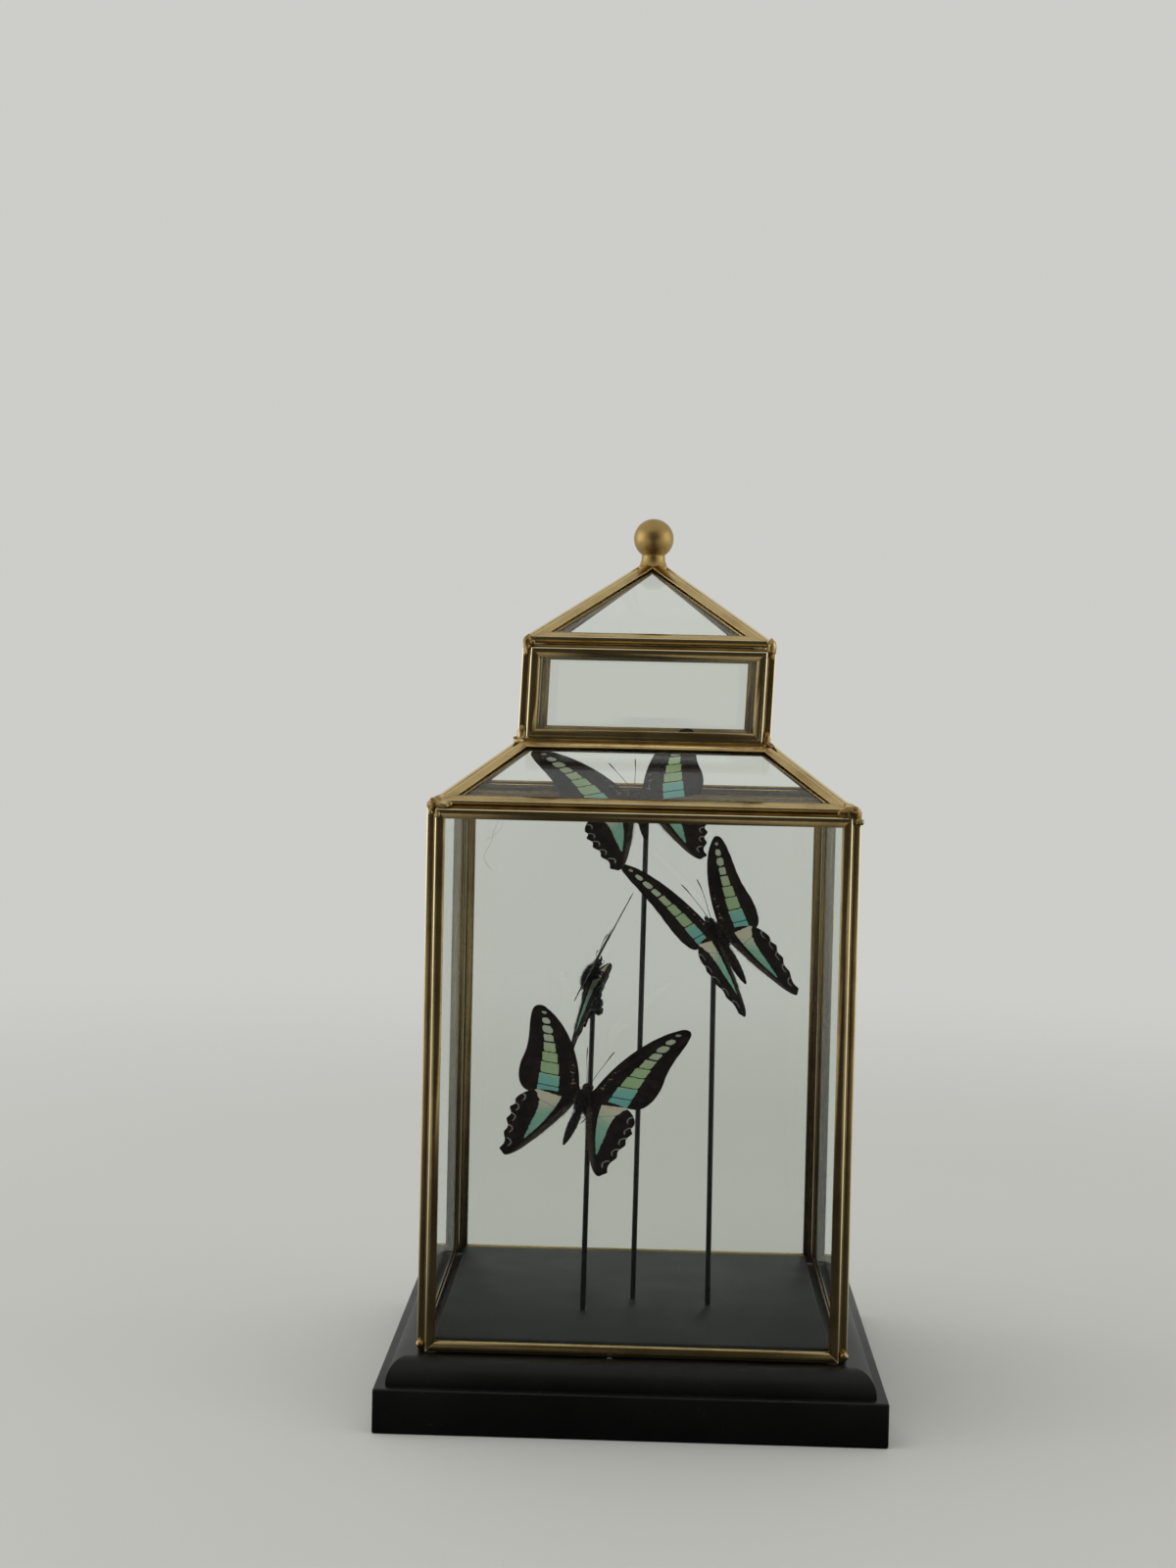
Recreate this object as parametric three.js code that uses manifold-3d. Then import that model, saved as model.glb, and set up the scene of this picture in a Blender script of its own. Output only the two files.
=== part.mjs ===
// Pagoda-shaped brass and glass case on a black moulded plinth, with four spread butterflies on rods.
// Millimetres, +Z up, the front of the case faces -Y, origin at the centre of the plinth's underside.
import * as THREE from 'three';
import { mergeVertices } from 'three/addons/utils/BufferGeometryUtils.js';
import Module from 'manifold-3d';

const wasm = await Module();
wasm.setup();

// Clearance between pieces that touch in the real object
const FIT_GAP = 0.3;

// Plinth: slab, board with a quarter-round edge, raised floor panel
const SLAB_WIDTH = 177;
const SLAB_TOP = 15.5;
const SLAB_EDGE = 0.75;
const BOARD_HALF = 84.5;
const BOARD_TOP = 24.75;
const BOARD_FILLET = 1;
const BOARD_FLAT_HALF = 77.5;
const BOARD_ROUND_STEPS = 8;
const FLOOR_HALF = 69;
const FLOOR_TOP = 29;

// Brass channel and glass
const CHANNEL_FACE = 3.5;
const CHANNEL_THICKNESS = 2.9;
const CHANNEL_WALL = 0.45;
const GLASS_THICKNESS = 1.4;
const EDGE_RELIEF = 0.2;

// Case: outer widths and heights of its tiers
const BODY_WIDTH = 150;
const BODY_TOP = 214.7;
const NECK_WIDTH = 90.4;
const NECK_BOTTOM = 238.5;
const NECK_TOP = 271.5;
const NECK_LEAN = 0.037;
const PEAK_HALF = 42.8;
const PEAK_BOTTOM = 272.5;
const PEAK_SLOPE = THREE.MathUtils.degToRad(35.5);
const PEAK_TIP_HALF = 2.2;
const PEAK_LEAN = 0.035;

// Finial
const BALL_RADIUS = 7.4;
const BALL_CENTRE = 313.2;
const BALL_STEPS = 8;
const COLLAR_RADIUS = 4.6;
const STUD_RADIUS = 1;
const STUD_LENGTH = 1.5;
const COLLAR_HEIGHT = 2.2;
const BALL_OFFSET = 1.2;

// Rods
const ROD_RADIUS = 1;
const ROD_SOCKET_DEPTH = 3;
const GLUE_RADIUS = 1.7;

// Insect, in its own frame: +X to its right, +Y to its head, +Z to its back
const WING_THICKNESS = 0.5;
const FOREWING_ROOT = [3, 3];
const HINDWING_ROOT = [3, -2];
const HINDWING_DROP = 0.45;
const THORAX = { centre: [0, 0, -0.4], radii: [2.9, 5.4, 2.9] };
const HEAD = { centre: [0, 6, -0.5], radii: [2.1, 1.7, 1.7] };
const ABDOMEN = { centre: [0, -11.8, -0.7], radii: [1.8, 9.2, 1.9] };
const ABDOMEN_JOINT = [0, -3.5, -0.6];
const FEELER_BASE = [0.8, 7, 0];
const ANTENNA_RADIUS = 0.3;
const CLUB_RADII = [0.5, 1.6, 0.5];
const LEG_RADIUS = 0.35;

const SIDES = ['front', 'right', 'back', 'left'];
const PALETTE = {
  paint: { color: 0x141412, roughness: 0.45, metalness: 0 },
  felt: { color: 0x2a2c2a, roughness: 0.8, metalness: 0 },
  brass: { color: 0x8a7440, roughness: 0.38, metalness: 1 },
  glass: { color: 0xc9d2c8, roughness: 0.05, metalness: 0, transparent: true, opacity: 0.3 },
  rod: { color: 0x10110f, roughness: 0.4, metalness: 0 },
  wing: { color: 0x1c1814, roughness: 0.7, metalness: 0 },
};

// Solids: closed meshes in and out of the boolean library
function toSolid(geometry) {
  const bare = geometry.clone();
  bare.deleteAttribute('normal');
  bare.deleteAttribute('uv');
  const welded = mergeVertices(bare, 1e-4);
  const corners = welded.index.array;
  const triVerts = [];
  for (let i = 0; i < corners.length; i += 3) {
    const [a, b, c] = corners.slice(i, i + 3);
    if (a !== b && b !== c && c !== a) triVerts.push(a, b, c);
  }
  return new wasm.Manifold(new wasm.Mesh({
    numProp: 3,
    vertProperties: Float32Array.from(welded.attributes.position.array),
    triVerts: Uint32Array.from(triVerts),
  }));
}

function toGeometry(solid) {
  const mesh = solid.getMesh();
  const geometry = new THREE.BufferGeometry();
  geometry.setAttribute('position', new THREE.BufferAttribute(mesh.vertProperties, 3));
  geometry.setIndex(new THREE.BufferAttribute(mesh.triVerts, 1));
  geometry.computeVertexNormals();
  return geometry;
}

function addNode(parent, name, geometry, finish) {
  const node = new THREE.Mesh(geometry, new THREE.MeshStandardMaterial(PALETTE[finish]));
  node.name = name;
  parent.add(node);
}

// Flat outlines
function polygon(points) {
  return new THREE.Shape(points.map(([x, y]) => new THREE.Vector2(x, y)));
}

// Moves every edge of a convex anticlockwise outline inwards by a distance
function inset(points, distance) {
  const count = points.length;
  const edges = points.map(([x, y], i) => {
    const [nextX, nextY] = points[(i + 1) % count];
    const length = Math.hypot(nextX - x, nextY - y);
    const along = [(nextX - x) / length, (nextY - y) / length];
    return { along, from: [x - along[1] * distance, y + along[0] * distance] };
  });
  return edges.map((edge, i) => {
    const before = edges[(i + count - 1) % count];
    const [ux, uy] = before.along;
    const [vx, vy] = edge.along;
    const gapX = edge.from[0] - before.from[0];
    const gapY = edge.from[1] - before.from[1];
    const reach = (gapX * vy - gapY * vx) / (ux * vy - uy * vx);
    return [before.from[0] + ux * reach, before.from[1] + uy * reach];
  });
}

function slabOf(points, thickness, lift) {
  const geometry = new THREE.ExtrudeGeometry(polygon(points), { depth: thickness, bevelEnabled: false });
  return geometry.translate(0, 0, lift);
}

// Brass U channel mitred around an outline, with a slot that takes the pane
function channelRing(outline) {
  const shape = polygon(outline);
  shape.holes.push(polygon(inset(outline, CHANNEL_FACE)));
  const bar = new THREE.ExtrudeGeometry(shape, { depth: CHANNEL_THICKNESS, bevelEnabled: false });
  const slotWidth = CHANNEL_THICKNESS - 2 * CHANNEL_WALL;
  const slot = slabOf(inset(outline, CHANNEL_WALL), slotWidth, CHANNEL_WALL);
  return toGeometry(toSolid(bar).subtract(toSolid(slot)));
}

function pane(outline) {
  const lift = (CHANNEL_THICKNESS - GLASS_THICKNESS) / 2;
  return slabOf(inset(outline, CHANNEL_WALL + FIT_GAP), GLASS_THICKNESS, lift);
}

// Case tiers. Each outline lies in the plane of its inner face, with y measured up the slope.
function caseTiers() {
  const bodyHalf = BODY_WIDTH / 2 - CHANNEL_THICKNESS;
  const neckHalf = NECK_WIDTH / 2 - CHANNEL_THICKNESS;
  const bodyBottom = BOARD_TOP + FIT_GAP;

  // The roof runs from the body's inner top edge to the neck's outer bottom edge
  const roofTopHalf = NECK_WIDTH / 2 + FIT_GAP;
  const run = bodyHalf - roofTopHalf;
  const rise = NECK_BOTTOM - FIT_GAP - BODY_TOP;
  const roofSlope = Math.atan2(rise, run) - Math.asin(CHANNEL_THICKNESS / Math.hypot(run, rise));
  const roofLength = (run + CHANNEL_THICKNESS * Math.sin(roofSlope)) / Math.cos(roofSlope);
  const roofInnerHalf = bodyHalf - roofLength * Math.cos(roofSlope);
  const peakLength = (PEAK_HALF - PEAK_TIP_HALF) / Math.cos(PEAK_SLOPE);

  return [
    { name: 'body', z: bodyBottom, half: bodyHalf, topHalf: bodyHalf, length: BODY_TOP - bodyBottom,
      slope: Math.PI / 2, lean: 0, leanFrom: 0 },
    { name: 'roof', z: BODY_TOP, half: bodyHalf, topHalf: roofInnerHalf, length: roofLength, slope: roofSlope,
      lean: 0, leanFrom: 0 },
    { name: 'neck', z: NECK_BOTTOM, half: neckHalf, topHalf: neckHalf, length: NECK_TOP - NECK_BOTTOM,
      slope: Math.PI / 2, lean: NECK_LEAN, leanFrom: (NECK_BOTTOM + NECK_TOP) / 2 },
    { name: 'peak', z: PEAK_BOTTOM, half: PEAK_HALF, topHalf: PEAK_TIP_HALF, length: peakLength,
      slope: PEAK_SLOPE, lean: PEAK_LEAN, leanFrom: PEAK_BOTTOM },
  ];
}

function buildCase(root) {
  for (const tier of caseTiers()) {
    const edges = [[-tier.half, 0], [tier.half, 0], [tier.topHalf, tier.length], [-tier.topHalf, tier.length]];
    const outline = inset(edges, EDGE_RELIEF);
    // Soldered by hand, the neck and the peak stand a little racked to the right
    const stand = new THREE.Group();
    stand.matrixAutoUpdate = false;
    stand.matrix.makeShear(0, 0, 0, 0, tier.lean, 0).setPosition(-tier.lean * tier.leanFrom, 0, 0);
    SIDES.forEach((side, turn) => {
      const around = new THREE.Group();
      around.rotation.z = turn * Math.PI / 2;
      const face = new THREE.Group();
      face.position.set(0, -tier.half, tier.z);
      face.rotation.x = tier.slope;
      addNode(face, `${tier.name}_frame_${side}`, channelRing(outline), 'brass');
      addNode(face, `${tier.name}_pane_${side}`, pane(outline), 'glass');
      around.add(face);
      stand.add(around);
    });
    root.add(stand);
  }
}

// Round and square turned pieces: a profile of [radius, height] pairs spun about +Z
function turned(profile, segments, start = 0) {
  const points = profile.map(([radius, height]) => new THREE.Vector2(radius, height));
  return new THREE.LatheGeometry(points, segments, start).rotateX(Math.PI / 2);
}

function buildFinial(root) {
  const tipBottom = PEAK_BOTTOM + (PEAK_HALF - PEAK_TIP_HALF) * Math.tan(PEAK_SLOPE);
  const tipTop = tipBottom + CHANNEL_THICKNESS * Math.cos(PEAK_SLOPE);
  const cupRadius = STUD_RADIUS + CHANNEL_THICKNESS * Math.sin(PEAK_SLOPE);
  const profile = [
    [0, tipBottom - STUD_LENGTH],
    [STUD_RADIUS, tipBottom - STUD_LENGTH],
    [STUD_RADIUS, tipBottom],
    [cupRadius, tipTop],
    [cupRadius, tipTop + FIT_GAP],
    [COLLAR_RADIUS, tipTop + FIT_GAP],
    [COLLAR_RADIUS, tipTop + COLLAR_HEIGHT],
  ];
  // The ball leaves the collar where its own outline is as wide as the collar's top
  const first = Math.asin((COLLAR_RADIUS - 0.4) / BALL_RADIUS);
  for (let step = 0; step <= BALL_STEPS; step += 1) {
    const angle = first + (Math.PI - first) * step / BALL_STEPS;
    const radius = step === BALL_STEPS ? 0 : BALL_RADIUS * Math.sin(angle);
    profile.push([radius, BALL_CENTRE - BALL_RADIUS * Math.cos(angle)]);
  }
  const solid = toSolid(turned(profile, 18).translate(BALL_OFFSET, 0, 0));
  addNode(root, 'finial', toGeometry(solid), 'brass');
}

// Plinth
function buildPlinth(root, rodFeet) {
  const half = SLAB_WIDTH / 2;
  const square = polygon([[-half, -half], [half, -half], [half, half], [-half, half]]);
  const slab = new THREE.ExtrudeGeometry(square, {
    depth: SLAB_TOP - 2 * SLAB_EDGE,
    bevelThickness: SLAB_EDGE,
    bevelSize: SLAB_EDGE,
    bevelOffset: -SLAB_EDGE,
    bevelSegments: 2,
  }).translate(0, 0, SLAB_EDGE);
  addNode(root, 'plinth_slab', slab, 'paint');

  const profile = [[0, SLAB_TOP], [BOARD_HALF, SLAB_TOP]];
  const roundFoot = SLAB_TOP + BOARD_FILLET;
  for (let step = 0; step <= BOARD_ROUND_STEPS; step += 1) {
    const angle = Math.PI / 2 * step / BOARD_ROUND_STEPS;
    profile.push([
      BOARD_FLAT_HALF + (BOARD_HALF - BOARD_FLAT_HALF) * Math.cos(angle),
      roundFoot + (BOARD_TOP - roundFoot) * Math.sin(angle),
    ]);
  }
  profile.push([0, BOARD_TOP]);
  const mitred = profile.map(([width, height]) => [width * Math.SQRT2, height]);
  addNode(root, 'plinth_top_board', toGeometry(toSolid(turned(mitred, 4, Math.PI / 4))), 'paint');

  const panel = new THREE.BoxGeometry(2 * FLOOR_HALF, 2 * FLOOR_HALF, FLOOR_TOP - BOARD_TOP)
    .translate(0, 0, (FLOOR_TOP + BOARD_TOP) / 2);
  let floor = toSolid(panel);
  for (const [x, y] of rodFeet) {
    const socket = new THREE.CylinderGeometry(ROD_RADIUS + FIT_GAP, ROD_RADIUS + FIT_GAP, 2 * ROD_SOCKET_DEPTH, 10)
      .rotateX(Math.PI / 2)
      .translate(x, y, FLOOR_TOP);
    floor = floor.subtract(toSolid(socket));
  }
  addNode(root, 'floor_panel', toGeometry(floor), 'felt');
}

// Insect wings: right-hand outlines, drawn flat
function forewingShape() {
  const shape = new THREE.Shape();
  shape.moveTo(1.5, 3);
  shape.lineTo(3.2, 5.6);
  shape.bezierCurveTo(6.5, 16.5, 15.5, 31.5, 27.6, 37.5);
  shape.bezierCurveTo(29.8, 38.4, 32.2, 37.6, 31.8, 34.5);
  shape.bezierCurveTo(31.4, 28.5, 27.6, 22, 27.6, 13.5);
  shape.bezierCurveTo(28, 5.5, 25, -1.2, 20.5, -1.9);
  shape.bezierCurveTo(15, -1.8, 8, -0.6, 1.5, -0.5);
  return shape;
}

// The margin runs in scallops between its teeth and ends in a short two-toothed tail
function hindwingShape() {
  const teeth = [[24.1, -8], [24.4, -12.3], [23.6, -17.6], [22.3, -23.5], [20.9, -30.8]];
  const scallop = 1.3;
  const shape = new THREE.Shape();
  shape.moveTo(1.5, 0.5);
  shape.bezierCurveTo(8, 1.2, 19, 0, 22, -4.6);
  shape.lineTo(...teeth[0]);
  for (let i = 1; i < teeth.length; i += 1) {
    const [x0, y0] = teeth[i - 1];
    const [x1, y1] = teeth[i];
    shape.quadraticCurveTo((x0 + x1) / 2 - 2 * scallop, (y0 + y1) / 2, x1, y1);
  }
  shape.quadraticCurveTo(19.6, -31, 18, -32.8);
  shape.quadraticCurveTo(15.6, -32, 13.2, -28);
  shape.bezierCurveTo(9.5, -21.8, 6, -13, 3.2, -5);
  shape.lineTo(1.5, -3);
  return shape;
}

function wing(shape, root, { sweep, dihedral, side, drop, thickness }) {
  const turn = new THREE.Matrix4().makeTranslation(...root, 0)
    .multiply(new THREE.Matrix4().makeRotationZ(sweep))
    .multiply(new THREE.Matrix4().makeTranslation(-root[0], -root[1], -thickness / 2 - drop));
  const raise = new THREE.Matrix4().makeRotationY(-dihedral);
  const plate = new THREE.ExtrudeGeometry(shape, { depth: thickness, bevelEnabled: false, curveSegments: 4 });
  const solid = toSolid(plate.applyMatrix4(turn).applyMatrix4(raise));
  return side === 'right' ? solid : solid.mirror([1, 0, 0]);
}

function ellipsoid({ centre, radii }, widthSegments, heightSegments, grow = 0) {
  return toSolid(new THREE.SphereGeometry(1, widthSegments, heightSegments)
    .scale(...radii.map((radius) => radius + grow))
    .translate(...centre));
}

// Thin limb along a curve through its points
function limb(points, radius) {
  const path = new THREE.CatmullRomCurve3(points.map((point) => new THREE.Vector3(...point)));
  const section = new THREE.Shape().absarc(0, 0, radius, 0, 2 * Math.PI);
  return toSolid(new THREE.ExtrudeGeometry(section, { steps: 3, extrudePath: path, curveSegments: 3 }));
}

// A turn about an axis through a point
function turnAt(point, axis, angle) {
  return new THREE.Matrix4().makeTranslation(...point)
    .multiply(new THREE.Matrix4().makeRotationAxis(new THREE.Vector3(...axis), angle))
    .multiply(new THREE.Matrix4().makeTranslation(...point.map((value) => -value)));
}

// Antenna and legs of the right side
function limbs(feelers, grow) {
  const antenna = limb([FEELER_BASE, [2.2, 12, 1.2], [4.2, 18, 1.8], [5, 22, 1.6]], ANTENNA_RADIUS + grow)
    .add(ellipsoid({ centre: [4.9, 21.4, 1.6], radii: CLUB_RADII }, 5, 4, grow))
    .transform(turnAt(FEELER_BASE, [0, 0, 1], -feelers).elements);
  const legs = [3, 0.5, -2].map((y) => limb(
    [[1, y, -2.4], [2.4, y - 0.4, -4.6], [1.6, y - 2.6, -5.4], [0.9, y - 5, -4.9]], LEG_RADIUS + grow));
  return [antenna, ...legs];
}

// Abdomen, turned sideways and drooped at its joint with the thorax
function abdomen({ sideways, droop }, grow) {
  const turn = turnAt(ABDOMEN_JOINT, [0, 0, 1], sideways)
    .multiply(turnAt(ABDOMEN_JOINT, [1, 0, 0], droop));
  return ellipsoid(ABDOMEN, 8, 7, grow).transform(turn.elements);
}

// Whole insect, or a copy of it swollen by a clearance
function butterfly(spread, grow = 0) {
  let solid = ellipsoid(THORAX, 10, 6, grow)
    .add(ellipsoid(HEAD, 8, 5, grow))
    .add(abdomen(spread, grow));
  const thickness = WING_THICKNESS + 2 * grow;
  for (const side of ['left', 'right']) {
    const { fore, foreDihedral, hindDihedral } = spread;
    const hind = spread[`${side}Hind`];
    const upper = { sweep: fore, dihedral: foreDihedral, side, thickness, drop: 0 };
    const lower = { sweep: hind, dihedral: hindDihedral, side, thickness, drop: HINDWING_DROP };
    solid = solid.add(wing(forewingShape(), FOREWING_ROOT, upper));
    solid = solid.add(wing(hindwingShape(), HINDWING_ROOT, lower));
    for (const part of limbs(spread.feelers, grow)) {
      solid = solid.add(side === 'right' ? part : part.mirror([1, 0, 0]));
    }
  }
  return solid;
}

// Where each insect is: thorax centre, the way its head and its back point, how its wings are set
// (radians, wing sweep positive towards the head), how its abdomen and antennae are turned, where its rod
// stands and meets the body
const SPECIMENS = [
  { name: 'top', thorax: [-2.2, -11.5, 215], head: [-0.296, 0.758, 0.581], back: [0.022, -0.603, 0.798],
    spread: { fore: -0.01, leftHind: -0.03, rightHind: -0.14, foreDihedral: 0.03, hindDihedral: -0.06,
      sideways: -0.17, droop: 0, feelers: 0 },
    foot: [-0.2, -8.5], grip: [2.2, -3.5, -2.4] },
  { name: 'right', thorax: [28.8, -16.7, 167.3], head: [-0.554, 0.254, 0.793], back: [0.615, -0.516, 0.595],
    spread: { fore: -0.05, leftHind: 0.01, rightHind: 0.01, foreDihedral: 0.08, hindDihedral: 0.13,
      sideways: -0.12, droop: 0, feelers: 0 },
    foot: [27.7, -14.4], grip: [-2.4, -2.2, -3] },
  { name: 'rear', thorax: [-19.8, 29, 145.7], head: [0.44, -0.136, 0.887], back: [-0.892, 0.041, 0.449],
    spread: { fore: -0.3, leftHind: 0.4, rightHind: 0.45, foreDihedral: 0.015, hindDihedral: -0.25,
      sideways: 0, droop: 0.42, feelers: 0.84 },
    foot: [-19.8, 29.5], grip: [0.3, -9, -6.2] },
  { name: 'front', thorax: [-19.9, -29.5, 107.2], head: [0.267, 0.701, 0.661], back: [-0.103, -0.661, 0.743],
    spread: { fore: 0.02, leftHind: 0.05, rightHind: -0.04, foreDihedral: 0.07, hindDihedral: 0.14,
      sideways: -0.05, droop: 0, feelers: 0 },
    foot: [-18.4, -27], grip: [2.8, -2.5, -2.2] },
];

function placement({ thorax, head, back }) {
  const ahead = new THREE.Vector3(...head).normalize();
  const right = ahead.clone().cross(new THREE.Vector3(...back)).normalize();
  const up = right.clone().cross(ahead);
  return new THREE.Matrix4().makeBasis(right, ahead, up).setPosition(...thorax);
}

// Rod from its socket to the thorax, with a glue lump cupped around the insect's underside
function rod(specimen, place) {
  const grip = new THREE.Vector3(...specimen.grip).applyMatrix4(place);
  const foot = new THREE.Vector3(...specimen.foot, FLOOR_TOP - ROD_SOCKET_DEPTH + FIT_GAP);
  const length = foot.distanceTo(grip);
  const lean = new THREE.Quaternion().setFromUnitVectors(
    new THREE.Vector3(0, 1, 0), grip.clone().sub(foot).normalize());
  const middle = foot.clone().add(grip).multiplyScalar(0.5);
  const shaft = toSolid(new THREE.CylinderGeometry(ROD_RADIUS, ROD_RADIUS, length, 10)
    .applyQuaternion(lean)
    .translate(...middle));
  const glue = toSolid(new THREE.SphereGeometry(GLUE_RADIUS, 8, 6).translate(...grip));
  return shaft.add(glue).subtract(butterfly(specimen.spread, FIT_GAP).transform(place.elements));
}

function buildSpecimens(root) {
  for (const specimen of SPECIMENS) {
    const place = placement(specimen);
    const insect = butterfly(specimen.spread).transform(place.elements);
    addNode(root, `butterfly_${specimen.name}`, toGeometry(insect), 'wing');
    addNode(root, `rod_${specimen.name}`, toGeometry(rod(specimen, place)), 'rod');
  }
}

const displayCase = new THREE.Group();
buildPlinth(displayCase, SPECIMENS.map(({ foot }) => foot));
buildCase(displayCase);
buildFinial(displayCase);
buildSpecimens(displayCase);

export default displayCase;
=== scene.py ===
import math

import bmesh
import bpy
import numpy as np
from mathutils import Matrix, Vector, noise
from mathutils.geometry import interpolate_bezier


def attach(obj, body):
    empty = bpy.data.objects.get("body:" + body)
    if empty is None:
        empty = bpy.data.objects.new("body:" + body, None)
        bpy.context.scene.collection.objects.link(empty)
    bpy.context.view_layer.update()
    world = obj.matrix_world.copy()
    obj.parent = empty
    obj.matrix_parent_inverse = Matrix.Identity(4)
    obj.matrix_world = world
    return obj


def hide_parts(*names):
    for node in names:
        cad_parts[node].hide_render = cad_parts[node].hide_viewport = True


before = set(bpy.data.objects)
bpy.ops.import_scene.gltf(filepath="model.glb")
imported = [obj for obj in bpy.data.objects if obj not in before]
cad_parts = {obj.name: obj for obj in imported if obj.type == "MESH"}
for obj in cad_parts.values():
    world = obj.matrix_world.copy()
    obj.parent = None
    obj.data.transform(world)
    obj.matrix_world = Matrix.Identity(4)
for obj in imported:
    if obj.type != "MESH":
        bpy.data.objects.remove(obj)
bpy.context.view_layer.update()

# Sizes are millimetres, as in the frame's own drawing, and a finished piece is turned into metres
MILLIMETRE = 0.001
TO_METRES = Matrix.Scale(MILLIMETRE, 4)
SIDES = ("front", "right", "back", "left")
QUARTER_TURN = math.pi / 2
QUARTERS = [Matrix.Rotation(turn * QUARTER_TURN, 4, "Z") for turn in range(4)]
random = np.random.default_rng(11)

# Plinth
SLAB_HALF = 88.5
SLAB_TOP = 15.5
SLAB_EDGE = 0.75
BOARD_HALF = 84.5
BOARD_FLAT_HALF = 77.5
BOARD_FOOT = 16.5
BOARD_TOP = 24.75
MITRE_EDGE = 0.25
FLOOR_HALF = 69
FLOOR_TOP = 29
FLOOR_EDGE = 0.5

# Brass channel
CHANNEL_FACE = 3.5
CHANNEL_THICKNESS = 2.9
CHANNEL_WALL = 0.45
CHANNEL_ROUND = 0.55
LIP_ROUND = 0.12
MITRE_SEAM = 0.09
EDGE_RELIEF = 0.12
GLASS_THICKNESS = 1.4
GLASS_IOR = 1.5
ROOF_GLASS_IOR = 1.3

# Solder and glue
CORNER_SEAM = 0.18
EAVE_SEAM = 0.5
LUMP_VOXEL = 0.2
FINIAL_VOXEL = 0.22

# Tiers of the case
FIT_GAP = 0.3
BODY_HALF = 72.1
BODY_TOP = 214.7
NECK_HALF = 42.3
NECK_BOTTOM = 238.5
NECK_TOP = 271.5
NECK_LEAN = 0.037
PEAK_HALF = 42.8
PEAK_BOTTOM = 272.5
PEAK_SLOPE = math.radians(35.5)
PEAK_TIP_HALF = 2.2
PEAK_LEAN = 0.035

# Finial
BALL_RADIUS = 7.4
BALL_CENTRE = 313.2
BALL_OFFSET = 1.2

# Rods and insects; a body part is a centre and three radii
ROD_RADIUS = 1
ROD_DEPTH = 2.5
WING_SHEET = 0.16
WING_GRID = 1.1
HINDWING_DROP = 0.45
FOREWING_ROOT = Vector((3, 3, 0))
HINDWING_ROOT = Vector((3, -2, 0))
ABDOMEN_JOINT = Vector((0, -3.5, -0.6))
FEELER_BASE = Vector((0.8, 7, 0))
THORAX = ((0, 0, -0.4), (2.8, 5.3, 2.8))
HEAD = ((0, 5.9, -0.5), (1.7, 1.6, 1.5))
ABDOMEN = ((0, -11.8, -0.7), (1.75, 9.1, 1.85))
ABDOMEN_FRONT = ((0, -7, -0.6), (1.75, 4.4, 1.8))
EYE = ((1.25, 6.4, -0.4), (0.8, 0.95, 0.95))
BODY_HAIR_WIDTH = 0.035
FOLD_HAIR_WIDTH = 0.03
FOLD_HAIRS = 700

# Where each insect stands: thorax, the ways its head and back point, how its wings, abdomen and antennae
# are turned, where its rod stands and meets the body, and where its glue ran in drops
SPECIMENS = {
    "top": dict(
        thorax=(-2.2, -11.5, 215), head=(-0.296, 0.758, 0.581), back=(0.022, -0.603, 0.798),
        fore=-0.01, left_hind=-0.03, right_hind=-0.14, fore_dihedral=0.03, hind_dihedral=-0.06,
        sideways=-0.17, droop=0, feelers=0, foot=(-0.2, -8.5), grip=(2.2, -3.5, -2.4), drops=(),
    ),
    "right": dict(
        thorax=(28.8, -16.7, 167.3), head=(-0.554, 0.254, 0.793), back=(0.615, -0.516, 0.595),
        fore=-0.05, left_hind=0.01, right_hind=0.01, fore_dihedral=0.08, hind_dihedral=0.13,
        sideways=-0.12, droop=0, feelers=0, foot=(27.7, -14.4), grip=(-2.4, -2.2, -3), drops=(),
    ),
    "rear": dict(
        thorax=(-19.8, 29, 145.7), head=(0.44, -0.136, 0.887), back=(-0.892, 0.041, 0.449),
        fore=-0.3, left_hind=0.4, right_hind=0.45, fore_dihedral=0.015, hind_dihedral=-0.25,
        sideways=0, droop=0.42, feelers=0.84, foot=(-19.8, 29.5), grip=(0.3, -9, -6.2),
        drops=((0.3, -1.4, -5.2), (0.3, -5.1, -6.4), (0.2, -10.6, -9.6), (0.3, -7.8, -8.2)),
    ),
    "front": dict(
        thorax=(-19.9, -29.5, 107.2), head=(0.267, 0.701, 0.661), back=(-0.103, -0.661, 0.743),
        fore=0.02, left_hind=0.05, right_hind=-0.04, fore_dihedral=0.07, hind_dihedral=0.14,
        sideways=-0.05, droop=0, feelers=0, foot=(-18.4, -27), grip=(2.8, -2.5, -2.2), drops=(),
    ),
}


# Camera at the photograph's place
FOCAL_PIXELS = 2470.68
PHOTO_HEIGHT = 1600
SENSOR = 36
CAMERA_PLACE = Vector((2.6865, -907.0726, 257.7019))
CAMERA_YAW = -0.0265
CAMERA_PITCH = -0.0403
CAMERA_ROLL = 0.022


def make_camera():
    ahead = Vector((
        math.sin(CAMERA_YAW) * math.cos(CAMERA_PITCH),
        math.cos(CAMERA_YAW) * math.cos(CAMERA_PITCH),
        math.sin(CAMERA_PITCH),
    ))
    turn = (-ahead).to_track_quat("Z", "Y").to_matrix() @ Matrix.Rotation(CAMERA_ROLL, 3, "Z")
    data = bpy.data.cameras.new("photo_camera")
    data.sensor_width = SENSOR
    data.lens = FOCAL_PIXELS / PHOTO_HEIGHT * SENSOR
    camera = in_scene("photo_camera", data)
    camera.matrix_world = Matrix.LocRotScale(TO_METRES @ CAMERA_PLACE, turn, None)
    bpy.context.scene.camera = camera


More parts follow.
